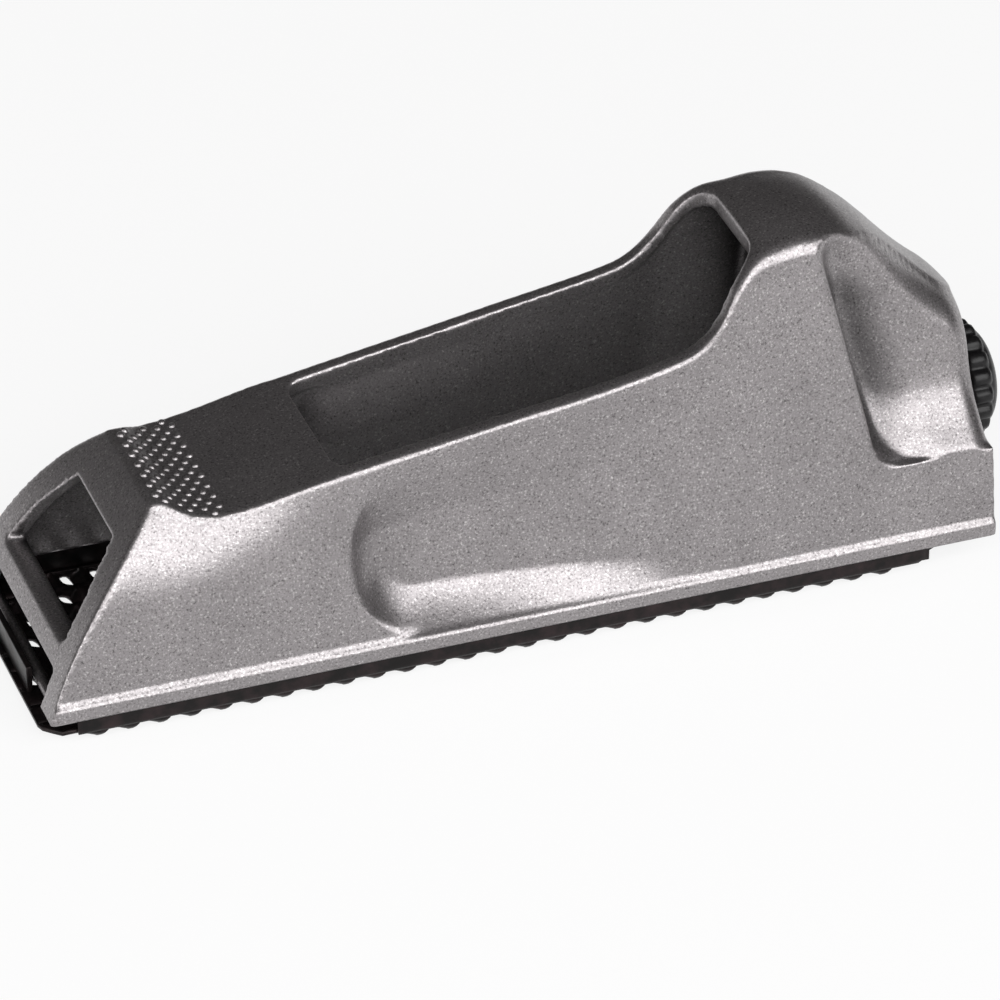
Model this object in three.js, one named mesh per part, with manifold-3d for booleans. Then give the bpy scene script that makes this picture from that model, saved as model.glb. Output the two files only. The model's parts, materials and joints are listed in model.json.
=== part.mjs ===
// A one-handed rasp plane: a die-cast body with an open trough and a palm hump,
// a perforated rasp blade hooked on at the nose, and a knob that draws it tight at the rear.
// Millimetres, +Z up, nose towards -X. The origin is at the middle of the box that the tool fills.

import * as THREE from 'three';
import { mergeVertices } from 'three/addons/utils/BufferGeometryUtils.js';
import Module from 'manifold-3d';

const wasm = await Module();
wasm.setup();

// Driving sizes of the body casting. Heights are above the sole.
const body_length = 146;
const sole_width = 43.5;
const hump_height = 51.5;
const flange_height = 2.5;
const flange_step = 0.8;
const side_wall = 2.4;
const rim_wall = 2.8;
const top_wall = 2.6;
const rear_wall = 2.6;
const nose_wall = 3.2;
const nose_height = 27.3;
const nose_setback = 19.3;
const nose_bow = 4.8;

// Trough, pad and hump.
const trough_front = -26.5;
const trough_rear = 38.4;
const trough_corner = 2;
const rim_round = 1.1;
const pad_round = 0.6;
const hump_round = 3.4;
const tower_round = 9;
const hump_crown = 0.8;

// Finger scallop in each side.
const scallop_depth = 3.9;
const scallop_front = -26.5;
const scallop_slope = 9;
const scallop_corner = 10;
const scallop_rear = 38;
const scallop_bottom = 3;
const scallop_cove = 5;
const scallop_fade = 5;

// Thumb recess beside the rear tower.
const ledge_height = 14.5;
const recess_top_front = 47.2;
const recess_foot_front = 55;
const recess_foot_round = 4;
const recess_side_round = 5.5;
const tower_rear_round = 4;
const tower_cavity_front = 45.5;
const cavity_step = 1;

// Openings in the nose: a window, and under its crossbar the mouth for the blade's lug.
const window_top = 21.4;
const window_shoulder = 15.2;
const crossbar_top = 9;
const crossbar_bottom = 5.5;
const window_top_width = 17.2;
const window_shoulder_width = 24.8;
const window_foot_width = 28.4;
const mouth_width = 33;
const mouth_top_width = 30.6;
const mouth_depth = 9;

// Blade, a punched strip with raised teeth.
const blade_shortfall = 6;
const blade_width = 40.9;
const blade_sheet = 0.9;
const blade_drop = 3;
const blade_corner = 5;
const blade_flange_height = 4.2;
const tooth_height = 1.3;
const tooth_run = 1.9;
const tooth_tip_width = 1.4;
const tooth_pitch_x = 5.8;
const tooth_pitch_y = 4.4;
const tooth_columns = 9;
const tooth_slant = 3;
const hole_length = 2.2;
const hole_width = 2.9;
const hole_shoulder = 0.3;
const blade_front_margin = 1.6;
const blade_rear_margin = 6.4;
const lug_width = 16;
const lug_height = 4.6;
const lug_from_front = 1.5;
const lip_height = 7.1;
const lip_width = 34;
const lip_bend = 4.5;
const rebate_depth = 1.9;
const rebate_front_gap = 4;

// Anchor rib in the mouth, which the blade's lug hooks in front of.
const rib_radius = 1;
const rib_height = -0.6;
const rib_from_nose = 2.7;

// Draw gear: claw, bolt, sleeve nut, washer, clip and knob.
const draw_height = 14.3;
const bolt_diameter = 5;
const bolt_head_side = 8;
const bolt_head_height = 3;
const bolt_reach = 20.6;
const bolt_neck_length = 2.4;
const claw_sheet = 1.6;
const claw_run = 9.6;
const claw_width = 19;
const claw_tab_width = 12.6;
const claw_tab_rise = 5.6;
const claw_tab_round = 3;
const claw_height = 6;
const shelf_thickness = 2;
const shelf_inner_width = 14;
const shelf_length = 15.4;
const sleeve_diameter = 8;
const sleeve_length = 11.6;
const sleeve_inside = 3.6;
const groove_depth = 0.7;
const groove_width = 1.5;
const clip_thickness = 0.9;
const clip_diameter = 12.4;
const clip_mouth_width = 5;
const washer_thickness = 0.8;
const washer_diameter = 14.4;
const knob_diameter = 18;
const knob_rim = 3.2;
const knob_dome = 2.7;
const knob_dome_share = 0.72;
const knob_flutes = 18;
const flute_steps = 4;
const flute_depth = 0.7;

// Clearances and an overrun shared by all cuts.
const fit_gap = 0.3;
const overrun = 2;

// How finely curves are cut.
const side_steps = 8;
const corner_steps = 3;
const nose_steps = 8;
const turn_steps = 28;
const arc_steps = 8;

// The body's lines, as shares of its length and of the named height or half width.
const top_line_shares = [
  [0, 0.527],
  [0.14, 0.527],
  [0.165, 0.497],
  [0.192, 0.487],
  [0.226, 0.497],
  [0.295, 0.536],
  [0.5, 0.628],
  [0.6, 0.672],
  [0.6725, 0.714],
  [0.6945, 0.744],
  [0.7145, 0.8],
  [0.7345, 0.893],
  [0.7575, 0.958],
  [0.785, 0.988],
  [0.815, 1],
  [0.856, 0.983],
  [0.89, 0.928],
  [0.91, 0.853],
  [0.935, 0.765],
  [0.96, 0.695],
  [0.982, 0.633],
  [1, 0.567],
];
const edge_width_shares = [
  [0, 0.497],
  [0.14, 0.497],
  [0.158, 0.561],
  [0.192, 0.637],
  [0.295, 0.666],
  [0.5, 0.69],
  [0.57, 0.703],
  [0.67, 0.694],
  [0.714, 0.686],
  [0.734, 0.637],
  [0.7575, 0.585],
  [0.785, 0.558],
  [0.815, 0.551],
  [1, 0.551],
];
const side_straight_shares = [
  [0, 0.5],
  [0.14, 0.5],
  [0.25, 0.75],
  [0.36, 0.95],
  [0.6, 0.95],
  [0.8, 0.85],
  [1, 0.3],
];
const tower_width_shares = [
  [0.282, 0.95],
  [0.291, 0.828],
  [0.311, 0.717],
  [0.34, 0.625],
  [0.379, 0.561],
  [0.437, 0.52],
  [0.485, 0.497],
  [0.553, 0.46],
  [0.68, 0.418],
  [0.835, 0.386],
  [1.05, 0.349],
];
const station_shares = [
  0, 0.14, 0.152, 0.165, 0.18, 0.192, 0.21, 0.226, 0.26, 0.295, 0.318, 0.334, 0.348, 0.363, 0.4, 0.45,
  0.5, 0.55, 0.6, 0.65, 0.6725, 0.684, 0.6945, 0.704, 0.7145, 0.724, 0.7345, 0.746, 0.7575, 0.77, 0.785,
  0.815, 0.835, 0.856, 0.874, 0.89, 0.91, 0.935, 0.96, 0.982, 1,
];

// Sizes that follow from the ones above.
const nose_x = -body_length / 2;
const rear_x = body_length / 2;
const sole_half = sole_width / 2;
const hook_x = nose_x + rib_from_nose;
const lug_rear_x = hook_x - rib_radius - fit_gap;
const blade_front_x = lug_rear_x - blade_sheet - lug_from_front;
const blade_rear_x = blade_front_x + body_length - blade_shortfall;
const lip_front_x = blade_rear_x - blade_sheet;
const lip_bend_x = blade_rear_x - lip_bend;
const lip_bend_z = lip_bend - blade_drop;
const blade_plate_top = -blade_drop + blade_sheet;
const claw_rear_x = lip_front_x - fit_gap;
const claw_front_x = claw_rear_x - claw_run;
const bolt_radius = bolt_diameter / 2;
const bolt_head_rear_x = claw_front_x - fit_gap;
const sleeve_radius = sleeve_diameter / 2;
const sleeve_front_x = rear_x - rear_wall - sleeve_inside;
const washer_front_x = rear_x + fit_gap;
const knob_front_x = washer_front_x + washer_thickness + fit_gap;
const knob_rear_x = knob_front_x + knob_rim + knob_dome;
const foot_z = -blade_drop - tooth_height;

// Tool palette.
const cast_grey = { color: 0x8a8786, roughness: 0.45, metalness: 0.55 };
const blade_black = { color: 0x1b1a1a, roughness: 0.4, metalness: 0.7 };
const zinc_steel = { color: 0xb4b4b0, roughness: 0.35, metalness: 0.9 };
const knob_black = { color: 0x141414, roughness: 0.5, metalness: 0 };

// A geometry as a solid: positions only, shared corners merged, slivers without area left out.
function solidOf(geometry) {
  const bare = geometry.clone();
  bare.deleteAttribute('normal');
  bare.deleteAttribute('uv');
  const merged = mergeVertices(bare);
  const corners = merged.index.array;
  const triVerts = [];
  for (let i = 0; i < corners.length; i += 3) {
    const [a, b, c] = [corners[i], corners[i + 1], corners[i + 2]];
    if (a !== b && b !== c && c !== a) triVerts.push(a, b, c);
  }
  const vertProperties = new Float32Array(merged.attributes.position.array);
  const mesh = new wasm.Mesh({ numProp: 3, vertProperties, triVerts: new Uint32Array(triVerts) });
  return new wasm.Manifold(mesh);
}

// A solid as a named mesh with its own material.
function meshOf(name, solid, finish) {
  const raw = solid.getMesh();
  const geometry = new THREE.BufferGeometry();
  const positions = new Float32Array(raw.vertProperties);
  geometry.setAttribute('position', new THREE.BufferAttribute(positions, raw.numProp));
  geometry.setIndex(new THREE.BufferAttribute(new Uint32Array(raw.triVerts), 1));
  geometry.computeVertexNormals();
  const mesh = new THREE.Mesh(geometry, new THREE.MeshStandardMaterial(finish));
  mesh.name = name;
  return mesh;
}

// A smooth curve through a table of [place, value], read at one place.
function curveAt(table, place) {
  const last = table.length - 1;
  if (place <= table[0][0]) return table[0][1];
  if (place >= table[last][0]) return table[last][1];
  const i = table.findIndex((row) => row[0] > place) - 1;
  const slope = (j) => {
    const [before, after] = [table[Math.max(j - 1, 0)], table[Math.min(j + 1, last)]];
    return (after[1] - before[1]) / (after[0] - before[0]);
  };
  const span = table[i + 1][0] - table[i][0];
  const t = (place - table[i][0]) / span;
  const rise = t * t * (3 - 2 * t);
  const leave = t * (1 - t) * (1 - t) * span * slope(i);
  const arrive = t * t * (1 - t) * span * slope(i + 1);
  return table[i][1] * (1 - rise) + table[i + 1][1] * rise + leave - arrive;
}

const smoothStep = (from, to, at) => THREE.MathUtils.smoothstep(at, Math.min(from, to), Math.max(from, to));
const shareAlong = (x) => (x - nose_x) / body_length;
const topHeight = (x) => hump_height * curveAt(top_line_shares, shareAlong(x));
const edgeHalf = (x) => sole_half * curveAt(edge_width_shares, shareAlong(x));
const towerHalf = (z) => sole_half * curveAt(tower_width_shares, z / hump_height);

// The rounding where side and top meet: small on the pad and the rims, wide on the hump and its tower.
function edgeRound(x) {
  const to_rim = smoothStep(trough_front - 2 * trough_corner, trough_front, x);
  const to_hump = smoothStep(trough_rear - 2 * hump_round, trough_rear + hump_round, x);
  const to_tower = smoothStep(recess_top_front, recess_foot_front + hump_round, x);
  const rim = pad_round + (rim_round - pad_round) * to_rim;
  return rim + (hump_round - rim_round) * to_hump + (tower_round - hump_round) * to_tower;
}

const scallopDepth = (x) => scallop_depth * (1 - smoothStep(scallop_front + scallop_slope, scallop_rear, x));

// How far the finger scallop sinks the side at a place. Its front corners are round, like a C.
function scallopAt(x, z) {
  const low = z - scallop_bottom;
  const high = topHeight(x) - edgeRound(x) - z;
  const ahead = Math.max(scallop_corner + scallop_front - x, 0);
  const aside = Math.max(scallop_corner - Math.min(low, high), 0);
  const reach = Math.hypot(ahead, aside);
  if (reach === 0 || reach >= scallop_corner) return reach === 0 ? scallopDepth(x) : 0;
  const soft = low < high ? scallop_cove : scallop_fade;
  const slope = (scallop_slope * ahead ** 2 + soft * aside ** 2) / reach ** 2;
  return scallopDepth(x) * smoothStep(0, slope, scallop_corner - reach);
}

// Half width of the body's side at a height, from just above the flange to the top edge.
function sideHalf(x, z) {
  const edge = topHeight(x) - edgeRound(x);
  const u = THREE.MathUtils.clamp((z - flange_height) / (edge - flange_height), 0, 1);
  const straight = curveAt(side_straight_shares, shareAlong(x));
  const fall = straight * u + (1 - straight) * u ** 4;
  const foot_half = sole_half - flange_step;
  return edgeHalf(x) + (foot_half - edgeHalf(x)) * (1 - fall) - scallopAt(x, z);
}

// A solid through rings of points [y, z] at places along X. Rings turn from +Y towards +Z.
function loftOf(places, ringAt) {
  const rings = places.map((x) => ringAt(x).map(([y, z]) => [x, y, z]));
  const count = rings[0].length;
  const index = [];
  for (let j = 0; j + 1 < rings.length; j += 1) {
    for (let i = 0; i < count; i += 1) {
      const a = j * count + i;
      const b = j * count + ((i + 1) % count);
      index.push(a, b, b + count, a, b + count, a + count);
    }
  }
  const flat = (ring) => ring.map(([, y, z]) => new THREE.Vector2(y, z));
  const capOf = (ring) => THREE.ShapeUtils.triangulateShape(flat(ring), []);
  const last = (rings.length - 1) * count;
  for (const [a, b, c] of capOf(rings[0])) index.push(a, c, b);
  for (const [a, b, c] of capOf(rings[rings.length - 1])) index.push(last + a, last + b, last + c);
  const geometry = new THREE.BufferGeometry();
  geometry.setAttribute('position', new THREE.Float32BufferAttribute(rings.flat(2), 3));
  geometry.setIndex(index);
  return solidOf(geometry);
}

// A solid through rings of points [x, y] at levels along Z. Rings turn from +X towards +Y.
function loftUp(levels, ringAt) {
  const turn = new THREE.Matrix4();
  turn.makeBasis(new THREE.Vector3(0, 0, 1), new THREE.Vector3(1, 0, 0), new THREE.Vector3(0, 1, 0));
  return loftOf(levels, ringAt).transform(turn.elements);
}

const mirrorHalf = (half) => [...half, ...half.slice().reverse().map(([y, z]) => [-y, z])];

// A shape drawn in X and Z, extruded across the tool and centred on it.
function extrudeAcross(shape, width, curveSegments = arc_steps) {
  const geometry = new THREE.ExtrudeGeometry(shape, { depth: width, bevelEnabled: false, curveSegments });
  geometry.rotateX(Math.PI / 2);
  geometry.translate(0, width / 2, 0);
  return solidOf(geometry);
}

// A shape drawn in Y and Z, extruded along X from one place to another.
function extrudeAlong(shape, from, to, curveSegments = arc_steps) {
  const geometry = new THREE.ExtrudeGeometry(shape, { depth: to - from, bevelEnabled: false, curveSegments });
  const turn = new THREE.Matrix4();
  turn.makeBasis(new THREE.Vector3(0, 1, 0), new THREE.Vector3(0, 0, 1), new THREE.Vector3(1, 0, 0));
  geometry.applyMatrix4(turn);
  geometry.translate(from, 0, 0);
  return solidOf(geometry);
}

function boxOf(x0, x1, y0, y1, z0, z1) {
  const geometry = new THREE.BoxGeometry(x1 - x0, y1 - y0, z1 - z0);
  geometry.translate((x0 + x1) / 2, (y0 + y1) / 2, (z0 + z1) / 2);
  return solidOf(geometry);
}

// A turned piece on the draw axis, from a closed profile of [radius, x].
function turnedOf(profile) {
  const points = profile.map(([radius, x]) => new THREE.Vector2(radius, x));
  const geometry = new THREE.LatheGeometry([...points, points[0].clone()], turn_steps);
  geometry.rotateZ(-Math.PI / 2);
  geometry.translate(0, 0, draw_height);
  return solidOf(geometry);
}

const ringProfile = (inner, outer, x0, x1) => [[inner, x0], [outer, x0], [outer, x1], [inner, x1]];
const shapeOf = (points) => new THREE.Shape(points.map(([a, b]) => new THREE.Vector2(a, b)));

// The space in front of the nose's bowed face, moved back by an offset.
function noseSpace(offset) {
  const foot = new THREE.Vector2(nose_x + offset, 0);
  const head = new THREE.Vector2(nose_x + nose_setback + offset, nose_height);
  const middle = foot.clone().add(head).multiplyScalar(0.5);
  middle.x -= nose_bow;
  const face = new THREE.QuadraticBezierCurve(foot, middle, head).getPoints(nose_steps);
  const slope = (head.x - middle.x) / (head.y - middle.y);
  const high = hump_height + overrun;
  const outline = [[nose_x - body_length, -overrun - blade_drop]];
  outline.push([foot.x, -overrun - blade_drop]);
  for (const point of face) outline.push([point.x, point.y]);
  outline.push([head.x + slope * (high - head.y), high]);
  outline.push([nose_x - body_length, high]);
  return extrudeAcross(shapeOf(outline), sole_width + 2 * overrun);
}

// One outer section of the body: flange, side, rounded edge and crown.
function bodyRing(x) {
  const round = edgeRound(x);
  const edge = topHeight(x) - round;
  const crown = hump_crown * smoothStep(trough_rear - hump_round, trough_rear + hump_round, x);
  const half = [[sole_half, 0], [sole_half, flange_height]];
  for (let i = 0; i <= side_steps; i += 1) {
    const z = flange_height + flange_step / 2 + ((edge - flange_height - flange_step / 2) * i) / side_steps;
    half.push([sideHalf(x, z), z]);
  }
  for (let i = 1; i <= corner_steps; i += 1) {
    const turn = (Math.PI / 2) * (i / corner_steps);
    half.push([edgeHalf(x) - round * (1 - Math.cos(turn)), edge + round * Math.sin(turn)]);
  }
  half.push([edgeHalf(x) / 2, topHeight(x) + crown]);
  return mirrorHalf(half);
}

// One section of the hollow inside, a wall's thickness in from the body's own sides.
function hollowRing(x) {
  const top = topHeight(x) - top_wall;
  const half = [[sole_half - side_wall - flange_step, -overrun - blade_drop]];
  for (let i = 0; i <= side_steps; i += 1) {
    const z = rebate_depth + ((top - rebate_depth) * i) / side_steps;
    const outer = sideHalf(x, z);
    const tower = towerHalf(Math.min(z + top_wall, hump_height));
    const behind = x > tower_cavity_front && z + top_wall > ledge_height;
    half.push([(behind ? Math.min(outer, tower) : outer) - side_wall, z]);
  }
  return mirrorHalf(half);
}

// The trough's mouth, cut down through the top between pad and hump, with the rim's own wall left.
function troughCut() {
  const places = stationPlaces().filter((x) => x > trough_front + trough_corner && x < trough_rear);
  const all = [trough_front, trough_front + trough_corner, ...places, trough_rear];
  return loftOf(all, (x) => {
    const inset = x === trough_front ? trough_corner / 2 : 0;
    const [low, edge] = [topHeight(x) - 2 * top_wall, topHeight(x) - edgeRound(x)];
    const rim_half = edgeHalf(x) - rim_wall - inset;
    const low_half = Math.min(rim_half, sideHalf(x, low) - side_wall);
    return mirrorHalf([[low_half, low], [rim_half, edge], [rim_half, hump_height + overrun]]);
  });
}

const stationPlaces = () => station_shares.map((share) => nose_x + share * body_length);

// Where the thumb recess's leaning front wall stands at a height, with a cove at its foot.
function recessFront(z) {
  const lean = (recess_foot_front - recess_top_front) / (hump_height - ledge_height);
  const low = THREE.MathUtils.clamp((z - ledge_height) / recess_foot_round, 0, 1);
  const cove = recess_foot_round * (1 - Math.sqrt(1 - (1 - low) ** 2));
  return recess_foot_front - lean * (z - ledge_height) + cove;
}

// One level of the near recess: its front wall, a cove, the tower's side and the tower's rounded rear edge.
function recessRing(z) {
  const [front, side] = [recessFront(z), towerHalf(z)];
  const [rear, outer] = [rear_x + overrun, sole_half + overrun];
  const cove = Math.min(recess_side_round, Math.max(outer - side - overrun / 2, overrun / 2));
  const ring = [[front, -outer], [rear, -outer], [rear, tower_rear_round - side]];
  for (let i = 0; i < corner_steps; i += 1) {
    const turn = (Math.PI / 2) * (i / (corner_steps - 1));
    ring.push([
      rear_x - tower_rear_round * (1 - Math.cos(turn)),
      tower_rear_round * (1 - Math.sin(turn)) - side,
    ]);
  }
  for (let i = 0; i <= corner_steps; i += 1) {
    const turn = (Math.PI / 2) * (i / corner_steps);
    ring.push([front + cove * (1 - Math.sin(turn)), -side - cove * (1 - Math.cos(turn))]);
  }
  return ring;
}

// The thumb recesses beside the tower, open at the top and the rear.
function recessCut() {
  const levels = [ledge_height, ...tower_width_shares.map(([share]) => share * hump_height)];
  const rising = levels.filter((z, i) => i === 0 || z > levels[i - 1] + fit_gap / 2);
  const near = loftUp(rising, recessRing);
  return near.add(near.mirror([0, 1, 0]));
}

// Window and mouth in the nose.
function noseOpenings() {
  const window_half = [
    [window_foot_width / 2, crossbar_top],
    [window_shoulder_width / 2, window_shoulder],
    [window_top_width / 2, window_top],
  ];
  const mouth_half = [
    [mouth_width / 2, -overrun],
    [mouth_top_width / 2, crossbar_bottom],
  ];
  const window_rear = nose_x + nose_setback + nose_wall;
  const window_cut = extrudeAlong(shapeOf(mirrorHalf(window_half)), nose_x - overrun, window_rear);
  const mouth_cut = extrudeAlong(shapeOf(mirrorHalf(mouth_half)), nose_x - overrun, nose_x + mouth_depth);
  return window_cut.add(mouth_cut);
}

// The bar behind the blade's lug, on which the slack blade swings.
function anchorRib() {
  const shape = new THREE.Shape();
  shape.absarc(hook_x, rib_height, rib_radius, 0, 2 * Math.PI, false);
  return extrudeAcross(shape, mouth_width + side_wall);
}

// Two shelves under which the claw slides.
function clawShelves(outer) {
  const z0 = claw_height + fit_gap;
  const x1 = rear_x - rear_wall / 2;
  const x0 = rear_x - rear_wall - shelf_length;
  const reach = sole_half - flange_step;
  const left = boxOf(x0, x1, shelf_inner_width / 2, reach, z0, z0 + shelf_thickness);
  const right = boxOf(x0, x1, -reach, -shelf_inner_width / 2, z0, z0 + shelf_thickness);
  return left.add(right).intersect(outer);
}

function bodyCasting() {
  const outer = loftOf(stationPlaces(), bodyRing).subtract(noseSpace(0)).subtract(recessCut());
  const hollow_rear = rear_x - rear_wall;
  const every_second = stationPlaces().filter((x, i) => i % 2 === 0);
  const inner_places = every_second.filter((x) => x > nose_x && x < hollow_rear - cavity_step);
  const step_at = [tower_cavity_front, tower_cavity_front + cavity_step];
  const places = [nose_x, ...inner_places, ...step_at, hollow_rear].sort((a, b) => a - b);
  const hollow = loftOf(places, hollowRing).subtract(noseSpace(nose_wall));
  const rebate_half = blade_width / 2 + fit_gap;
  const rebate_x0 = nose_x + rebate_front_gap;
  const rebate_z0 = -overrun - blade_drop;
  const rebate = boxOf(rebate_x0, hollow_rear, -rebate_half, rebate_half, rebate_z0, rebate_depth);
  const bore = turnedOf(ringProfile(0, sleeve_radius + fit_gap, hollow_rear - overrun, rear_x + overrun));
  const hollowed = outer.subtract(hollow).subtract(troughCut()).subtract(rebate).subtract(noseOpenings());
  const solid = hollowed.add(anchorRib()).add(clawShelves(outer)).subtract(bore);
  return meshOf('body_casting', solid, cast_grey);
}

// Places of the punched holes: columns along the strip, each a third of a pitch behind the last.
function holePlaces() {
  const first_x = blade_front_x + blade_front_margin;
  const last_x = blade_rear_x - blade_rear_margin;
  const rows = Math.floor((last_x - first_x) / tooth_pitch_x) + 1;
  const places = [];
  for (let row = 0; row < rows; row += 1) {
    for (let column = 0; column < tooth_columns; column += 1) {
      const stagger = ((column % tooth_slant) * tooth_pitch_x) / tooth_slant;
      const x = first_x + row * tooth_pitch_x + stagger;
      const y = (column - (tooth_columns - 1) / 2) * tooth_pitch_y;
      const beside = Math.abs(y) > blade_width / 2 - blade_corner;
      const at_corner = beside && x - hole_length < blade_front_x + blade_corner;
      if (x < last_x && !at_corner) places.push([x, y]);
    }
  }
  return places;
}

// One raised tooth behind its hole: upright at the hole, falling away to the rear.
function addTooth(x, y, positions, index) {
  const top = blade_plate_top - blade_sheet / 2;
  const low = -blade_drop - tooth_height;
  const x0 = x + hole_length / 2;
  const wide = hole_width / 2 + fit_gap / 2;
  const narrow = tooth_tip_width / 2;
  const start = positions.length / 3;
  const corners = [
    [x0, y - wide, top],
    [x0, y + wide, top],
    [x0 + tooth_run, y - wide, top],
    [x0 + tooth_run, y + wide, top],
    [x0 + tooth_run, y - wide, -blade_drop],
    [x0 + tooth_run, y + wide, -blade_drop],
    [x0, y - wide, -blade_drop],
    [x0, y + wide, -blade_drop],
    [x0, y - narrow, low],
    [x0, y + narrow, low],
  ];
  for (const corner of corners) positions.push(...corner);
  const faces = [
    [0, 2, 3], [0, 3, 1], [2, 4, 5], [2, 5, 3], [0, 6, 2], [2, 6, 4], [1, 3, 7], [3, 5, 7],
    [0, 1, 7], [0, 7, 6], [6, 7, 9], [6, 9, 8], [4, 6, 8], [5, 9, 7], [4, 8, 9], [4, 9, 5],
  ];
  for (const face of faces) index.push(...face.map((corner) => start + corner));
}

function teethOf(places) {
  const positions = [];
  const index = [];
  for (const [x, y] of places) addTooth(x, y, positions, index);
  const geometry = new THREE.BufferGeometry();
  geometry.setAttribute('position', new THREE.Float32BufferAttribute(positions, 3));
  geometry.setIndex(index);
  return solidOf(geometry);
}

// The strip's plate with its punched five-sided holes, blunt towards the teeth.
function bladePlate(places) {
  const half = blade_width / 2;
  const outline = [
    [blade_front_x, blade_corner - half],
    [blade_front_x + blade_corner, -half],
    [lip_bend_x, -half],
    [lip_bend_x, half],
    [blade_front_x + blade_corner, half],
    [blade_front_x, half - blade_corner],
  ];
  const shape = shapeOf(outline);
  for (const [x, y] of places) {
    const [long, wide] = [hole_length / 2, hole_width / 2];
    const hole = [[-long, 0], [-hole_shoulder, -wide], [long, -wide], [long, wide], [-hole_shoulder, wide]];
    shape.holes.push(new THREE.Path(hole.map(([dx, dy]) => new THREE.Vector2(x + dx, y + dy)).reverse()));
  }
  const geometry = new THREE.ExtrudeGeometry(shape, { depth: blade_sheet, bevelEnabled: false });
  geometry.translate(0, 0, -blade_drop);
  return solidOf(geometry);
}

// A lug lanced up near the front end, which hooks in front of the anchor rib.
function bladeLug() {
  const half = lug_width / 2;
  return boxOf(lug_rear_x - blade_sheet, lug_rear_x, -half, half, -blade_drop, lug_height - blade_drop);
}

// The rear end bends up into the lip that the claw draws on.
function bladeLip() {
  const top = lip_height - blade_drop;
  const shape = new THREE.Shape();
  shape.moveTo(lip_bend_x - blade_sheet, -blade_drop);
  shape.lineTo(lip_bend_x, -blade_drop);
  shape.absarc(lip_bend_x, lip_bend_z, lip_bend, -Math.PI / 2, 0, false);
  shape.lineTo(blade_rear_x, top);
  shape.lineTo(lip_front_x, top);
  shape.lineTo(lip_front_x, lip_bend_z);
  shape.absarc(lip_bend_x, lip_bend_z, lip_bend - blade_sheet, 0, -Math.PI / 2, true);
  shape.lineTo(lip_bend_x - blade_sheet, blade_plate_top);
  return extrudeAcross(shape, lip_width);
}

function raspBlade() {
  const places = holePlaces();
  const half = blade_width / 2;
  const z1 = -blade_drop + blade_flange_height;
  const flange_x0 = nose_x + rebate_front_gap + fit_gap;
  const solid = bladePlate(places)
    .add(boxOf(flange_x0, lip_bend_x, half - blade_sheet, half, -blade_drop, z1))
    .add(boxOf(flange_x0, lip_bend_x, -half, blade_sheet - half, -blade_drop, z1))
    .add(bladeLip())
    .add(bladeLug())
    .add(teethOf(places));
  return meshOf('rasp_blade', solid, blade_black);
}

// Pressed claw: a hook down in front of the blade's rear lip, a slide, and an upright tab for the bolt.
function drawClaw() {
  const tab_top = draw_height + claw_tab_rise;
  const side = shapeOf([
    [claw_front_x, claw_height - claw_sheet],
    [claw_rear_x - claw_sheet, claw_height - claw_sheet],
    [claw_rear_x - claw_sheet, lip_bend_z],
    [claw_rear_x, lip_bend_z],
    [claw_rear_x, claw_height],
    [claw_front_x + claw_sheet, claw_height],
    [claw_front_x + claw_sheet, tab_top],
    [claw_front_x, tab_top],
  ]);
  const [wide, narrow] = [claw_width / 2, claw_tab_width / 2];
  const face = shapeOf(mirrorHalf([
    [wide, lip_bend_z - overrun],
    [wide, claw_height],
    [narrow, claw_height],
    [narrow, tab_top - claw_tab_round],
    [narrow - claw_tab_round, tab_top],
  ]));
  const neck_half = bolt_radius + fit_gap;
  const z0 = draw_height - neck_half;
  const z1 = draw_height + neck_half;
  const hole = boxOf(claw_front_x - overrun, claw_front_x + 2 * overrun, -neck_half, neck_half, z0, z1);
  const outline = extrudeAlong(face, claw_front_x - overrun, claw_rear_x + overrun);
  return meshOf('draw_claw', extrudeAcross(side, claw_width).intersect(outline).subtract(hole), zinc_steel);
}

// Draw bolt: square head in front of the claw, square neck in its hole, round shank to the rear.
function drawBolt() {
  const head_front = bolt_head_rear_x - bolt_head_height;
  const neck_rear = bolt_head_rear_x + bolt_neck_length;
  const [head, neck] = [bolt_head_side / 2, bolt_radius];
  const [low, high] = [draw_height - head, draw_height + head];
  const solid = boxOf(head_front, bolt_head_rear_x, -head, head, low, high)
    .add(boxOf(bolt_head_rear_x, neck_rear, -neck, neck, draw_height - neck, draw_height + neck))
    .add(turnedOf(ringProfile(0, bolt_radius, head_front + fit_gap, bolt_head_rear_x + bolt_reach)));
  return meshOf('draw_bolt', solid, zinc_steel);
}

function thrustWasher() {
  const profile = ringProfile(
    sleeve_radius + fit_gap, washer_diameter / 2, washer_front_x, washer_front_x + washer_thickness,
  );
  return meshOf('thrust_washer', turnedOf(profile), zinc_steel);
}

// Sleeve nut, moulded into the knob and turning in the rear wall, with a groove for its clip.
function sleeveNut() {
  const inner = bolt_radius + fit_gap;
  const groove_x1 = rear_x - rear_wall;
  const profile = [
    [inner, sleeve_front_x],
    [sleeve_radius, sleeve_front_x],
    [sleeve_radius, groove_x1 - groove_width],
    [sleeve_radius - groove_depth, groove_x1 - groove_width],
    [sleeve_radius - groove_depth, groove_x1],
    [sleeve_radius, groove_x1],
    [sleeve_radius, sleeve_front_x + sleeve_length],
    [inner, sleeve_front_x + sleeve_length],
  ];
  return meshOf('sleeve_nut', turnedOf(profile), zinc_steel);
}

// Spring clip in the sleeve's groove, open on one side.
function retainingClip() {
  const x1 = rear_x - rear_wall - fit_gap;
  const inner = sleeve_radius - groove_depth + fit_gap;
  const ring = turnedOf(ringProfile(inner, clip_diameter / 2, x1 - clip_thickness, x1));
  const half = clip_mouth_width / 2;
  const mouth = boxOf(x1 - overrun, x1 + overrun, -half, half, draw_height, draw_height + clip_diameter);
  return meshOf('retaining_clip', ring.subtract(mouth), zinc_steel);
}

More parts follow.
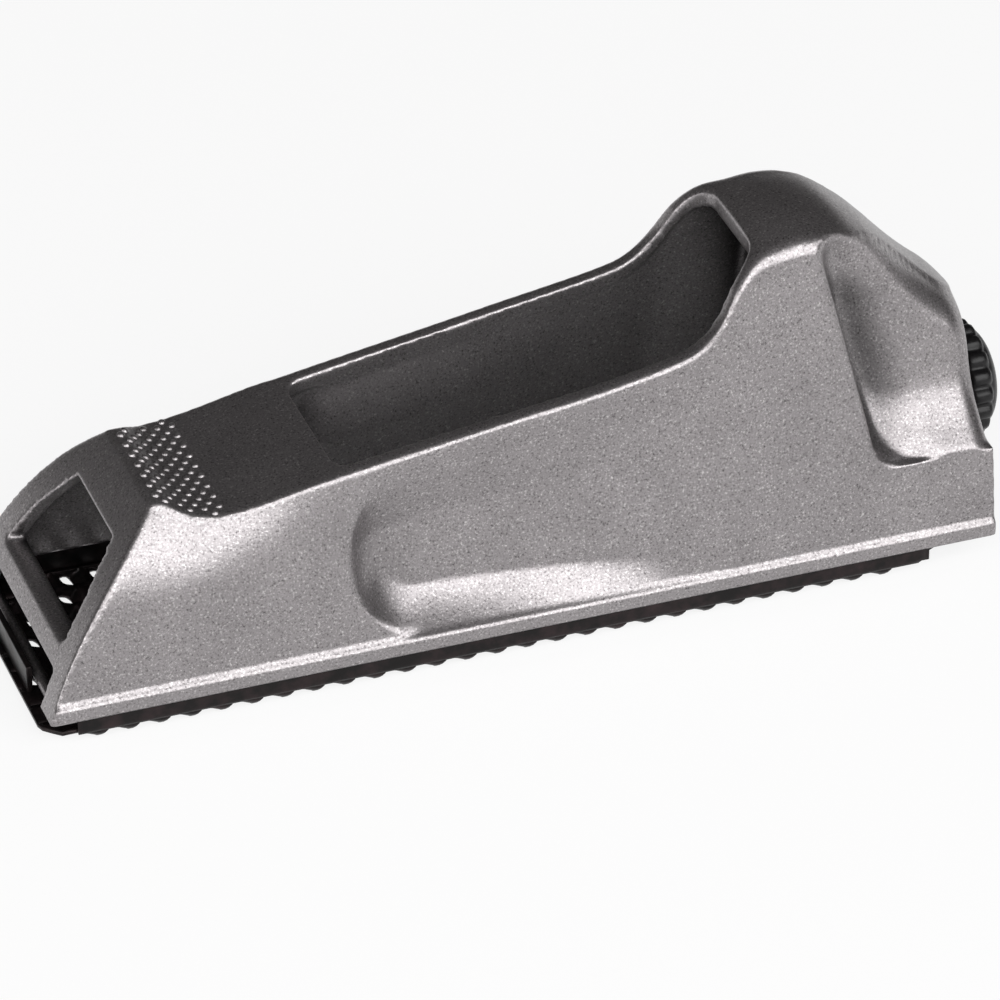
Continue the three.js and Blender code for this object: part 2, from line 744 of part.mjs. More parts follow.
// Fluted knob with a low dome at the rear and a blind bore for the sleeve.
function tensionKnob() {
  const radius = knob_diameter / 2;
  const outline = [];
  const steps = knob_flutes * flute_steps;
  for (let i = 0; i < steps; i += 1) {
    const turn = (2 * Math.PI * i) / steps;
    const reach = radius - (i % flute_steps === 0 ? flute_depth : 0);
    outline.push([reach * Math.cos(turn), draw_height + reach * Math.sin(turn)]);
  }
  const rim = extrudeAlong(shapeOf(outline), knob_front_x, knob_front_x + knob_rim);
  const dome_radius = radius * knob_dome_share;
  const seat = knob_front_x + knob_rim / 2;
  const dome = turnedOf([
    [0, seat],
    [radius - flute_depth, seat],
    [radius - flute_depth, knob_front_x + knob_rim + flute_depth],
    [dome_radius, knob_rear_x - flute_depth],
    [0, knob_rear_x],
  ]);
  const bore_rear = sleeve_front_x + sleeve_length + fit_gap;
  const bore = turnedOf(ringProfile(0, sleeve_radius + fit_gap, knob_front_x - overrun, bore_rear));
  return meshOf('knob', rim.add(dome).subtract(bore), knob_black);
}

const tool = new THREE.Group();
tool.position.set(-(blade_front_x + knob_rear_x) / 2, 0, -foot_z);
tool.add(bodyCasting(), raspBlade(), drawClaw(), drawBolt());
tool.add(thrustWasher(), sleeveNut(), retainingClip(), tensionKnob());

const rasp_plane = new THREE.Group();
rasp_plane.name = 'rasp_plane';
rasp_plane.add(tool);
rasp_plane.updateMatrixWorld(true);

export default rasp_plane;
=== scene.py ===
import json
import logging
import math
from collections.abc import Callable, Sequence
from dataclasses import dataclass, field
from enum import Enum

import bmesh
import bpy
import numpy as np
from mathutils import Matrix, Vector


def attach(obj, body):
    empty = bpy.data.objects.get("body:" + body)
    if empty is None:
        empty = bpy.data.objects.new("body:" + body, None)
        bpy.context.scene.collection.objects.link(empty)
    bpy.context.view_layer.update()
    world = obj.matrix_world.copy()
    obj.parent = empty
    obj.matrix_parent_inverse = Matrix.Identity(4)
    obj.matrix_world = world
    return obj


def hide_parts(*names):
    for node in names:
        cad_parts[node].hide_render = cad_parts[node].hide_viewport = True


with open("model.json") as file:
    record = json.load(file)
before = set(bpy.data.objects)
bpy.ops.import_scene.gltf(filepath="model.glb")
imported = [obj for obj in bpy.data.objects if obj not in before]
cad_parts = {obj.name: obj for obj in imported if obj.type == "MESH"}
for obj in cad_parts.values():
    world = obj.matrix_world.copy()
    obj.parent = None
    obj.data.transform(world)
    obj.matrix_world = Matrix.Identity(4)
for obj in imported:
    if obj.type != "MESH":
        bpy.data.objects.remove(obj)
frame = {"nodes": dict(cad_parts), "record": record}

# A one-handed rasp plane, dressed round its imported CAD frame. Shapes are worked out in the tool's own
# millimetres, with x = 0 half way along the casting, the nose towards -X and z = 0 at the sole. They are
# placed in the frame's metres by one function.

LOG = logging.getLogger("rasp_plane")
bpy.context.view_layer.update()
MM = 0.001
SOLE_RIM = frame["record"]["mounts"][0]["pos_m"]
SOLE_ORIGIN = np.array([SOLE_RIM[0], 0.0, SOLE_RIM[2]])

Point2 = tuple[float, float]
Point3 = tuple[float, float, float]
Table = tuple[Point2, ...]
Mesh = tuple[list[Point3], list[tuple[int, ...]]]

# The casting's lines, as shares of its length and of the named height or half width.
TOP_LINE: Table = (
    (0, 0.527), (0.14, 0.527), (0.165, 0.497), (0.192, 0.487), (0.226, 0.497), (0.295, 0.536), (0.5, 0.628),
    (0.6, 0.672), (0.6725, 0.714), (0.6945, 0.744), (0.7145, 0.8), (0.7345, 0.893), (0.7575, 0.958),
    (0.785, 0.979), (0.815, 0.987), (0.856, 0.965), (0.89, 0.905), (0.91, 0.853), (0.935, 0.778), (0.96, 0.708),
    (0.982, 0.653), (1, 0.6),
)
EDGE_WIDTH: Table = (
    (0, 0.497), (0.14, 0.497), (0.158, 0.561), (0.192, 0.637), (0.295, 0.666), (0.5, 0.69), (0.57, 0.703),
    (0.67, 0.694), (0.714, 0.686), (0.734, 0.637), (0.7575, 0.585), (0.785, 0.558), (0.815, 0.551),
    (1, 0.551),
)
SIDE_STRAIGHT: Table = (
    (0, 0.5), (0.14, 0.5), (0.25, 0.75), (0.36, 0.95), (0.6, 0.95), (0.8, 0.85), (1, 0.3),
)
TOWER_WIDTH: Table = (
    (0.276, 0.92), (0.295, 0.872), (0.315, 0.822), (0.338, 0.765), (0.362, 0.712), (0.395, 0.652), (0.445, 0.59),
    (0.53, 0.522), (0.62, 0.47), (0.7, 0.434), (0.8, 0.4), (0.88, 0.398), (0.95, 0.44), (1.05, 0.54),
)


class Slot(Enum):
    """The record's material slots."""

    CASTING = "cast_paint"
    BLADE = "blade_steel"
    STEEL = "plated_steel"
    KNOB = "knob_plastic"


def to_frame(points: Sequence[Point3]) -> np.ndarray:
    """Puts tool millimetres into the frame's metres.

    Args:
        points: Places as (x, y, z) in the tool's millimetres.

    Returns:
        The same places in metres, in the frame.
    """
    return np.asarray(points, dtype=float) * MM + SOLE_ORIGIN


def curve_at(table: Table, place: float) -> float:
    """Reads a smooth curve through a table of (place, value).

    Args:
        table: The places and values, in rising order of place.
        place: Where to read.

    Returns:
        The value there.
    """
    if place <= table[0][0]:
        return table[0][1]
    if place >= table[-1][0]:
        return table[-1][1]
    i = next(k for k, row in enumerate(table) if row[0] > place) - 1

    def slope(j: int) -> float:
        """The curve's slope at one row of the table."""
        before, after = table[max(j - 1, 0)], table[min(j + 1, len(table) - 1)]
        return (after[1] - before[1]) / (after[0] - before[0])

    span = table[i + 1][0] - table[i][0]
    t = (place - table[i][0]) / span
    rise = t * t * (3 - 2 * t)
    leave = t * (1 - t) ** 2 * span * slope(i)
    arrive = t * t * (1 - t) * span * slope(i + 1)
    return table[i][1] * (1 - rise) + table[i + 1][1] * rise + leave - arrive


def within_one(share: float) -> float:
    """Keeps a share between 0 and 1."""
    return min(max(share, 0.0), 1.0)


def smooth_step(start: float, end: float, at: float) -> float:
    """Rises from 0 at start to 1 at end, with soft ends."""
    t = within_one((at - start) / (end - start))
    return t * t * (3 - 2 * t)


def arc_drop(share: float) -> float:
    """How far a quarter circle of radius 1 has dropped, from 0 at its level end to 1 at its upright end."""
    return 1 - math.sqrt(max(1 - share ** 2, 0.0))


def circle(centre: Point2, radius: float, count: int) -> list[Point2]:
    """Evenly spaced points round a circle."""
    turns = np.linspace(0, 2 * math.pi, count, endpoint=False)
    return [(centre[0] + radius * math.cos(t), centre[1] + radius * math.sin(t)) for t in turns]


def mirrored(half: Sequence[Point2]) -> list[Point2]:
    """Closes a half section with its mirror image across y = 0."""
    return [*half, *((-y, z) for y, z in reversed(half) if abs(y) > 1e-9)]


def grid_faces(first: int, rows: int, count: int, closed: bool = True) -> list[tuple[int, ...]]:
    """Joins rows of points with four-sided faces.

    Args:
        first: Number of the first row's first point.
        rows: How many rows there are.
        count: Points in each row.
        closed: Whether each row closes on itself.

    Returns:
        The faces, row by row.
    """
    faces: list[tuple[int, ...]] = []
    for start in range(first, first + (rows - 1) * count, count):
        for i in range(count if closed else count - 1):
            a, b = start + i, start + (i + 1) % count
            faces.append((a, b, b + count, a + count))
    return faces


def loft(places: Sequence[float], ring_at: Callable[[float], list[Point2]], axis: int = 0) -> Mesh:
    """Joins rings of points at places along an axis into one closed mesh.

    Args:
        places: The places of the rings.
        ring_at: Gives a ring's points, as (y, z) for axis 0 or (x, y) for axis 2.
        axis: 0 for a loft along X, 2 for one along Z.

    Returns:
        The points and faces.
    """
    points = [(place, a, b) if axis == 0 else (a, b, place) for place in places for a, b in ring_at(place)]
    count = len(points) // len(places)
    ends = tuple(reversed(range(count))), tuple(range(len(points) - count, len(points)))
    return points, [ends[0], *grid_faces(0, len(places), count), ends[1]]


def prism_across(outline: Sequence[Point2], half_width: float) -> Mesh:
    """Extrudes an outline across the tool, centred on it.

    Args:
        outline: The outline's points as (x, z).
        half_width: How far it reaches to each side.

    Returns:
        The points and faces.
    """
    count = len(outline)
    points = [(x, y, z) for y in (-half_width, half_width) for x, z in outline]
    faces: list[tuple[int, ...]] = [tuple(range(count)), tuple(reversed(range(count, 2 * count)))]
    faces += [(i, i + count, (i + 1) % count + count, (i + 1) % count) for i in range(count)]
    return points, faces


def block(low: Point3, high: Point3) -> Mesh:
    """Makes a rectangular block.

    Args:
        low: Its lowest corner.
        high: Its highest corner.

    Returns:
        The points and faces.
    """
    outline = [(low[0], low[2]), (high[0], low[2]), (high[0], high[2]), (low[0], high[2])]
    points, faces = prism_across(outline, 1.0)
    return [(x, low[1] if y < 0 else high[1], z) for x, y, z in points], faces


def mesh_object(name: str, mesh: Mesh, smooth: bool = True) -> bpy.types.Object:
    """Makes a Blender object from tool millimetres, with its faces turned outwards.

    Args:
        name: The object's name.
        mesh: Points and faces in the tool's millimetres.
        smooth: Whether its faces are shaded smooth.

    Returns:
        The new object, linked to the scene.
    """
    points, faces = mesh
    data = bpy.data.meshes.new(name)
    data.from_pydata([tuple(p) for p in to_frame(points)], [], faces)
    work = bmesh.new()
    work.from_mesh(data)
    bmesh.ops.remove_doubles(work, verts=work.verts, dist=1e-7)
    bmesh.ops.recalc_face_normals(work, faces=work.faces)
    work.to_mesh(data)
    work.free()
    data.polygons.foreach_set("use_smooth", [smooth] * len(data.polygons))
    obj = bpy.data.objects.new(name, data)
    bpy.context.scene.collection.objects.link(obj)
    return obj


def settle(obj: bpy.types.Object) -> None:
    """Turns an object's modifiers into its own mesh.

    Args:
        obj: The object, which keeps no modifier.
    """
    shaped = obj.evaluated_get(bpy.context.evaluated_depsgraph_get())
    data = bpy.data.meshes.new_from_object(shaped)
    old = obj.data
    obj.modifiers.clear()
    obj.data = data
    bpy.data.meshes.remove(old)


def combine(obj: bpy.types.Object, tools: Sequence[bpy.types.Object], operation: str) -> None:
    """Cuts tools out of an object, or joins them to it, and removes the tools.

    Args:
        obj: The object that is changed.
        tools: The objects that cut it or are joined to it.
        operation: DIFFERENCE, UNION or INTERSECT.
    """
    for tool in tools:
        modifier = obj.modifiers.new("shape", "BOOLEAN")
        modifier.operation, modifier.solver, modifier.object = operation, "MANIFOLD", tool
    settle(obj)
    for tool in tools:
        bpy.data.objects.remove(tool, do_unlink=True)


def linear(colour: str) -> tuple[float, float, float, float]:
    """Turns an sRGB hex colour into the linear values of a shader."""
    parts = [int(colour[i:i + 2], 16) / 255 for i in (1, 3, 5)]
    return (*(c / 12.92 if c <= 0.04045 else ((c + 0.055) / 1.055) ** 2.4 for c in parts), 1.0)


def per_metre(size_mm: float) -> float:
    """The scale of a noise whose features are that many millimetres across."""
    return 1.0 / (size_mm * MM)


def plug(tree: bpy.types.NodeTree, node: bpy.types.Node, sockets: dict) -> None:
    """Sets or links the inputs of a node.

    Args:
        tree: The node tree.
        node: The node.
        sockets: Input name or number to a value, or to the output socket linked to it.
    """
    for name, value in sockets.items():
        if isinstance(value, bpy.types.NodeSocket):
            tree.links.new(value, node.inputs[name])
        else:
            node.inputs[name].default_value = value


def add_node(tree: bpy.types.NodeTree, kind: str, sockets: dict | None = None, **settings) -> bpy.types.Node:
    """Adds one node with its settings and links.

    Args:
        tree: The node tree.
        kind: Blender's name of the node type.
        sockets: Input name or number to a value, or to the output socket linked to it.
        **settings: Attributes of the node itself.

    Returns:
        The new node.
    """
    node = tree.nodes.new(kind)
    for name, value in settings.items():
        setattr(node, name, value)
    plug(tree, node, sockets or {})
    return node


def ramp(node: bpy.types.Node, stops: Sequence[tuple[float, str]]) -> None:
    """Sets a colour ramp's stops.

    Args:
        node: The colour ramp.
        stops: Positions from 0 to 1, each with its sRGB hex colour.
    """
    elements = node.color_ramp.elements
    while len(elements) > 1:
        elements.remove(elements[-1])
    for i, (position, colour) in enumerate(stops):
        element = elements[0] if i == 0 else elements.new(position)
        element.position, element.color = position, linear(colour)


@dataclass(frozen=True)
class Finish:
    """What every finish starts from: a named material, with its patterns laid out on the piece itself."""

    name: str

    def start(self) -> tuple[bpy.types.Material, bpy.types.NodeTree, bpy.types.Node, bpy.types.NodeSocket]:
        """Makes the plain material.

        Returns:
            The material, its node tree, its shader and the place on the piece.
        """
        material = bpy.data.materials.new(self.name)
        material.use_nodes = True
        tree = material.node_tree
        return material, tree, tree.nodes["Principled BSDF"], add_node(tree, "ShaderNodeTexCoord").outputs["Object"]


@dataclass(frozen=True)
class StovedEnamel(Finish):
    """Silver-grey speckled enamel, sprayed on a die casting and stoved.

    Its metal flakes mirror the room softly: shoulders that face the light go near white and faces that
    face the dark go brown-grey. The flakes and the fine orange peel of the sprayed coat break both up.
    Hollows get painted shade: an ambient occlusion mask darkens the colour where walls close in.
    """

    name: str = "stoved_silver_enamel"
    body: str = "#918d8e"
    flake: str = "#d6d2d2"
    pit: str = "#565253"
    metallic: float = 0.86
    roughness: float = 0.32
    # Real flakes and peel are finer, and are drawn coarser so that they show.
    flake_mm: float = 0.34
    peel_mm: float = 0.62
    cloud_mm: float = 9.0
    # Painted shade in the hollows: the occlusion's reach, the occlusion range that is darkened, and the darkest
    # colour factor.
    painted_shade_reach_mm: float = 22.0
    painted_shade_range: tuple[float, float] = (0.5, 0.9)
    hollow_shade: float = 0.05
    peel_strength: float = 0.3
    peel_depth_mm: float = 0.09
    grain_strength: float = 0.2
    grain_depth_mm: float = 0.06

    def material(self) -> bpy.types.Material:
        """Builds the material.

        Returns:
            The enamel, with flakes, orange peel, a faint clouding and painted shade in the hollows.
        """
        material, tree, shader, place = self.start()
        flakes = add_node(tree, "ShaderNodeTexNoise", {
            "Vector": place, "Scale": per_metre(self.flake_mm), "Detail": 2.5, "Roughness": 0.7})
        tint = add_node(tree, "ShaderNodeValToRGB", {"Fac": flakes.outputs["Fac"]})
        ramp(tint, ((0.3, self.pit), (0.45, self.body), (0.57, self.body), (0.74, self.flake)))
        cloud = add_node(tree, "ShaderNodeTexNoise", {
            "Vector": place, "Scale": per_metre(self.cloud_mm), "Detail": 2.0})
        shade = add_node(tree, "ShaderNodeMapRange", {
            "Value": cloud.outputs["Fac"], "From Min": 0.3, "From Max": 0.7, "To Min": 0.92, "To Max": 1.06})
        # Painted shade: ambient occlusion darkens the enamel's colour in hollows, creases and recesses, where shade
        # falls.
        painted_shade_ao = add_node(tree, "ShaderNodeAmbientOcclusion", {"Distance": self.painted_shade_reach_mm * MM},
                            only_local=True, samples=8)
        painted_hollow_shade = add_node(tree, "ShaderNodeMapRange", {
            "Value": painted_shade_ao.outputs["AO"], "From Min": self.painted_shade_range[0], "From Max": self.painted_shade_range[1],
            "To Min": self.hollow_shade, "To Max": 1.0})
        shade = add_node(tree, "ShaderNodeMath", {0: shade.outputs["Result"], 1: painted_hollow_shade.outputs["Result"]},
                         operation="MULTIPLY")
        tinted = add_node(tree, "ShaderNodeVectorMath", {0: tint.outputs["Color"], "Scale": shade.outputs[0]},
                          operation="SCALE")
        peel = add_node(tree, "ShaderNodeTexNoise", {
            "Vector": place, "Scale": per_metre(self.peel_mm), "Detail": 3.0, "Roughness": 0.6})
        bump = add_node(tree, "ShaderNodeBump", {
            "Height": peel.outputs["Fac"], "Strength": self.peel_strength, "Distance": self.peel_depth_mm * MM})
        grain = add_node(tree, "ShaderNodeBump", {
            "Height": flakes.outputs["Fac"], "Strength": self.grain_strength,
            "Distance": self.grain_depth_mm * MM, "Normal": bump.outputs["Normal"]})
        gloss = add_node(tree, "ShaderNodeMapRange", {
            "Value": flakes.outputs["Fac"], "From Min": 0.3, "From Max": 0.7,
            "To Min": self.roughness + 0.04, "To Max": self.roughness - 0.03})
        plug(tree, shader, {
            "Base Color": tinted.outputs["Vector"], "Roughness": gloss.outputs["Result"],
            "Normal": grain.outputs["Normal"], "Metallic": self.metallic})
        return material


@dataclass(frozen=True)
class BlackedSteel(Finish):
    """Hardened strip steel, punched and then blacked in oil: near black, with a low metal sheen."""

    name: str = "oil_blacked_strip_steel"
    black: str = "#1d1b1b"
    brown: str = "#33292a"
    metallic: float = 0.75
    roughness: float = 0.36
    stain_mm: float = 3.2
    # Real pores are finer, and are drawn coarser so that they show.
    pore_mm: float = 0.28
    pore_strength: float = 0.3
    pore_depth_mm: float = 0.04

    def material(self) -> bpy.types.Material:
        """Builds the material.

        Returns:
            The blacked steel, with brown stains and fine pores.
        """
        material, tree, shader, place = self.start()
        stain = add_node(tree, "ShaderNodeTexNoise", {
            "Vector": place, "Scale": per_metre(self.stain_mm), "Detail": 4.0, "Roughness": 0.6})
        tint = add_node(tree, "ShaderNodeValToRGB", {"Fac": stain.outputs["Fac"]})
        ramp(tint, ((0.42, self.black), (0.72, self.brown)))
        pores = add_node(tree, "ShaderNodeTexNoise", {
            "Vector": place, "Scale": per_metre(self.pore_mm), "Detail": 2.0})
        bump = add_node(tree, "ShaderNodeBump", {
            "Height": pores.outputs["Fac"], "Strength": self.pore_strength, "Distance": self.pore_depth_mm * MM})
        gloss = add_node(tree, "ShaderNodeMapRange", {
            "Value": stain.outputs["Fac"], "From Min": 0.35, "From Max": 0.7,
            "To Min": self.roughness - 0.06, "To Max": self.roughness + 0.12})
        plug(tree, shader, {
            "Base Color": tint.outputs["Color"], "Roughness": gloss.outputs["Result"],
            "Normal": bump.outputs["Normal"], "Metallic": self.metallic})
        return material


@dataclass(frozen=True)
class ZincPlate(Finish):
    """Pressed and turned steel, barrel-plated in zinc: pale, with a slightly cloudy sheen."""

    name: str = "bright_zinc_plate"
    zinc: str = "#b7b6b0"
    dull: str = "#94938d"
    metallic: float = 1.0
    roughness: float = 0.34
    cloud_mm: float = 1.6

    def material(self) -> bpy.types.Material:
        """Builds the material.

        Returns:
            The zinc plate, with a soft cloud in colour and gloss.
        """
        material, tree, shader, place = self.start()
        cloud = add_node(tree, "ShaderNodeTexNoise", {
            "Vector": place, "Scale": per_metre(self.cloud_mm), "Detail": 4.0})
        tint = add_node(tree, "ShaderNodeValToRGB", {"Fac": cloud.outputs["Fac"]})
        ramp(tint, ((0.35, self.dull), (0.6, self.zinc)))
        gloss = add_node(tree, "ShaderNodeMapRange", {
            "Value": cloud.outputs["Fac"], "From Min": 0.3, "From Max": 0.7,
            "To Min": self.roughness + 0.1, "To Max": self.roughness - 0.05})
        plug(tree, shader, {
            "Base Color": tint.outputs["Color"], "Roughness": gloss.outputs["Result"], "Metallic": self.metallic})
        return material


@dataclass(frozen=True)
class MouldedNylon(Finish):
    """Black glass-filled nylon, injection moulded: satin, with the faint grain of a sparked mould."""

    name: str = "moulded_black_nylon"
    black: str = "#0e0d0e"
    worn: str = "#1c1b1c"
    roughness: float = 0.34
    ior: float = 1.53
    shine: float = 0.28
    # The real grain is finer, and is drawn coarser so that it shows.
    grain_mm: float = 0.22
    grain_strength: float = 0.35
    grain_depth_mm: float = 0.03

    def material(self) -> bpy.types.Material:
        """Builds the material.

        Returns:
            The nylon, with a fine grain in height and gloss.
        """
        material, tree, shader, place = self.start()
        grain = add_node(tree, "ShaderNodeTexNoise", {
            "Vector": place, "Scale": per_metre(self.grain_mm), "Detail": 2.0})
        tint = add_node(tree, "ShaderNodeValToRGB", {"Fac": grain.outputs["Fac"]})
        ramp(tint, ((0.4, self.black), (0.85, self.worn)))
        bump = add_node(tree, "ShaderNodeBump", {
            "Height": grain.outputs["Fac"], "Strength": self.grain_strength, "Distance": self.grain_depth_mm * MM})
        gloss = add_node(tree, "ShaderNodeMapRange", {
            "Value": grain.outputs["Fac"], "From Min": 0.3, "From Max": 0.7,
            "To Min": self.roughness - 0.05, "To Max": self.roughness + 0.08})
        plug(tree, shader, {
            "Base Color": tint.outputs["Color"], "Roughness": gloss.outputs["Result"],
            "Normal": bump.outputs["Normal"], "IOR": self.ior, "Specular IOR Level": self.shine})
        return material


def dress(obj: bpy.types.Object, material: bpy.types.Material, body: str) -> None:
    """Gives a new piece its material and the body that it rides on.

    Args:
        obj: The piece.
        material: Its finish.
        body: The CAD body that carries the piece.
    """
    obj.data.materials.clear()
    obj.data.materials.append(material)
    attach(obj, body)
    LOG.info("%s: %d faces, rides on %s", obj.name, len(obj.data.polygons), body)


@dataclass
class CastBody:
    """The die-cast body: sole band, sides with finger scallops, pad, trough, hump, rear tower and nose."""

    length: float = 146.0
    sole_width: float = 43.5
    hump_height: float = 51.5
    flange_height: float = 2.5
    flange_step: float = 0.8
    side_wall: float = 2.4
    rim_wall: float = 2.8
    top_wall: float = 2.6
    rear_wall: float = 2.6
    nose_wall: float = 3.2
    nose_height: float = 27.3
    nose_setback: float = 19.3
    nose_bow: float = 4.8
    trough_front: float = -26.5
    trough_rear: float = 38.4
    trough_round_front: float = 2.4
    trough_round_rear: float = 3.4
    rim_round: float = 1.1
    pad_round: float = 0.6
    hump_round: float = 3.4
    hump_crown: float = 0.8
    tower_shoulder: float = 5.5
    groove_depth: float = 2.0
    groove_width: float = 8.0
    groove_top: float = 44.0
    groove_fade: float = 8.0
    recess_edge_round: float = 1.1
    scallop_depth: float = 4.3
    scallop_front: float = -26.5
    scallop_slope: float = 9.5
    scallop_corner: float = 11.0
    scallop_lean: float = 5.5
    scallop_rear: float = 38.0
    scallop_bottom: float = 2.9
    scallop_cove: float = 5.0
    scallop_fade: float = 11.0
    scallop_front_ease: float = 3.2
    scallop_cove_ease: float = 1.35
    ledge_height: float = 14.2
    recess_top_front: float = 47.2
    recess_foot_front: float = 55.0
    recess_foot_round: float = 4.0
    recess_side_round: float = 3.2
    tower_rear_round: float = 4.0
    tower_cavity_front: float = 45.5
    window_top: float = 21.4
    window_shoulder: float = 15.2
    crossbar_top: float = 9.0
    crossbar_bottom: float = 5.5
    window_top_width: float = 17.2
    window_shoulder_width: float = 24.8
    window_foot_width: float = 28.4
    mouth_width: float = 33.0
    mouth_top_width: float = 30.6
    mouth_depth: float = 9.0
    blade_width: float = 40.9
    rebate_depth: float = 1.9
    rebate_front_gap: float = 4.0
    rib_from_nose: float = 2.7
    rib_height: float = -0.6
    rib_radius: float = 1.0
    draw_height: float = 14.3
    bore_radius: float = 4.3
    shelf_bottom: float = 6.3
    shelf_thickness: float = 2.0
    shelf_inner_width: float = 14.0
    shelf_length: float = 15.4
    fit_gap: float = 0.3
    rim_blend: float = 4.0
    least_cove: float = 1.0
    trough_blend: float = 4.0
    voxel: float = 0.42
    soften: int = 5
    soften_factor: float = 0.5
    overrun: float = 6.0
    bore_overrun: float = 2.0
    sections: int = 150
    hollow_sections: int = 90
    trough_sections: int = 50
    trough_end_sections: int = 8
    side_steps: int = 30
    corner_steps: int = 8
    crown_steps: int = 6
    bow_steps: int = 24
    trough_steps: int = 8
    recess_levels: int = 220
    recess_steps: int = 40
    recess_edge_steps: int = 6
    bore_sides: int = 48
    rib_sides: int = 32

    @property
    def nose_x(self) -> float:
        """Where the sole begins at the nose."""
        return -self.length / 2

    @property
    def rear_x(self) -> float:
        """Where the casting ends at the rear."""
        return self.length / 2

    @property
    def sole_half(self) -> float:
        """Half the sole's width."""
        return self.sole_width / 2

    def share(self, x: float) -> float:
        """How far along the casting a place is, from 0 at the nose to 1 at the rear."""
        return (x - self.nose_x) / self.length

    def top(self, x: float) -> float:
        """Height of the top line at a place."""
        return self.hump_height * curve_at(TOP_LINE, self.share(x))

    def edge_half(self, x: float) -> float:
        """Half width between the top edges at a place."""
        return self.sole_half * curve_at(EDGE_WIDTH, self.share(x))

    def tower_half(self, z: float) -> float:
        """Half width of the rear tower at a height."""
        return self.sole_half * curve_at(TOWER_WIDTH, z / self.hump_height)

    def edge_round(self, x: float) -> float:
        """Gives the radius where side and top meet.

        Args:
            x: Place along the tool.

        Returns:
            The radius, which grows from pad to rim and from rim to hump.
        """
        to_rim = smooth_step(self.trough_front - self.rim_blend, self.trough_front, x)
        to_hump = smooth_step(self.trough_rear - 2 * self.hump_round, self.trough_rear + self.hump_round, x)
        rim = self.pad_round + (self.rim_round - self.pad_round) * to_rim
        return rim + (self.hump_round - self.rim_round) * to_hump

    def scallop(self, x: float, z: float) -> float:
        """How far the finger scallop sinks the side at a place. Its front corners are round, like a C.

        Args:
            x: Place along the tool.
            z: Height above the sole.

        Returns:
            The depth in millimetres.
        """
        low, high = z - self.scallop_bottom, max(self.top(x) - self.edge_round(x) - z, 0.0)
        front = self.scallop_front + self.scallop_lean * max(1 - high / self.scallop_corner, 0.0) ** 2
        ahead = max(self.scallop_corner + front - x, 0.0)
        aside = max(self.scallop_corner - low, 0.0)
        reach = math.hypot(ahead, aside)
        if reach >= self.scallop_corner:
            return 0.0
        share = ahead ** 2 / max(reach, 1e-6) ** 2
        slope = self.scallop_slope * share + self.scallop_cove * (1 - share)
        ease = self.scallop_front_ease * share + self.scallop_cove_ease * (1 - share)
        sunk = min((self.scallop_corner - reach) / slope, 1.0)
        depth = self.scallop_depth * (1 - smooth_step(self.scallop_front + self.scallop_slope, self.scallop_rear, x))
        return depth * (1 - (1 - sunk) ** ease) * min(high / self.scallop_fade, 1.0)

    def side_half(self, x: float, z: float) -> float:
        """Half width of the side above the sole band.

        Args:
            x: Place along the tool.
            z: Height above the sole.

        Returns:
            The half width, less the scallop.
        """
        edge = self.top(x) - self.edge_round(x)
        rise = within_one((z - self.flange_height) / (edge - self.flange_height))
        straight = curve_at(SIDE_STRAIGHT, self.share(x))
        fall = straight * rise + (1 - straight) * rise ** 4
        foot, half = self.sole_half - self.flange_step, self.edge_half(x)
        return half + (foot - half) * (1 - fall) - self.scallop(x, z)

    def outer_ring(self, x: float) -> list[Point2]:
        """Draws one outer section: sole band, side, rounded edge and crown.

        Args:
            x: Place along the tool.

        Returns:
            The section's points as (y, z).
        """
        round_, half = self.edge_round(x), self.edge_half(x)
        edge = self.top(x) - round_
        crown = self.hump_crown * smooth_step(
            self.trough_rear - self.hump_round, self.trough_rear + self.hump_round, x)
        points = [(self.sole_half, 0.0), (self.sole_half, self.flange_height)]
        start = self.flange_height + self.flange_step / 2
        for i in range(self.side_steps + 1):
            z = start + (edge - start) * i / self.side_steps
            points.append((self.side_half(x, z), z))
        for i in range(1, self.corner_steps + 1):
            turn = math.pi / 2 * i / self.corner_steps
            points.append((half - round_ * (1 - math.cos(turn)), edge + round_ * math.sin(turn)))
        for i in range(1, self.crown_steps + 1):
            share = 1 - i / self.crown_steps
            points.append(((half - round_) * share, self.top(x) + crown * (1 - share * share)))
        return mirrored(points)

    def hollow_ring(self, x: float) -> list[Point2]:
        """Draws one section of the hollow, a wall's thickness inside the sides.

        Args:
            x: Place along the tool.

        Returns:
            The section's points as (y, z).
        """
        top = self.top(x) - self.top_wall
        points = [(self.sole_half - self.side_wall - self.flange_step, -self.overrun)]
        for i in range(self.side_steps + 1):
            z = self.rebate_depth + (top - self.rebate_depth) * i / self.side_steps
            outer = self.side_half(x, z)
            if x > self.tower_cavity_front and z + self.top_wall > self.ledge_height:
                outer = min(outer, self.tower_half(min(z + self.top_wall, self.hump_height)))
            points.append((outer - self.side_wall, z))
        return mirrored(points)

    def nose_space(self, offset: float) -> Mesh:
        """Draws the space ahead of the nose's bowed face.

        Args:
            offset: How far the face is moved back.

        Returns:
            The points and faces of the space.
        """
        foot = Vector((self.nose_x + offset, 0.0))
        head = Vector((self.nose_x + self.nose_setback + offset, self.nose_height))
        middle = (foot + head) / 2 - Vector((self.nose_bow, 0.0))
        shares = [i / self.bow_steps for i in range(self.bow_steps + 1)]
        face = [foot * (1 - t) ** 2 + middle * 2 * t * (1 - t) + head * t * t for t in shares]
        slope = (head.x - middle.x) / (head.y - middle.y)
        high = self.hump_height + self.overrun
        outline = [(self.nose_x - self.length, -self.overrun), (foot.x, -self.overrun)]
        outline += [(p.x, p.y) for p in face]
        outline += [(head.x + slope * (high - head.y), high), (self.nose_x - self.length, high)]
        return prism_across(outline, self.sole_half + self.overrun)

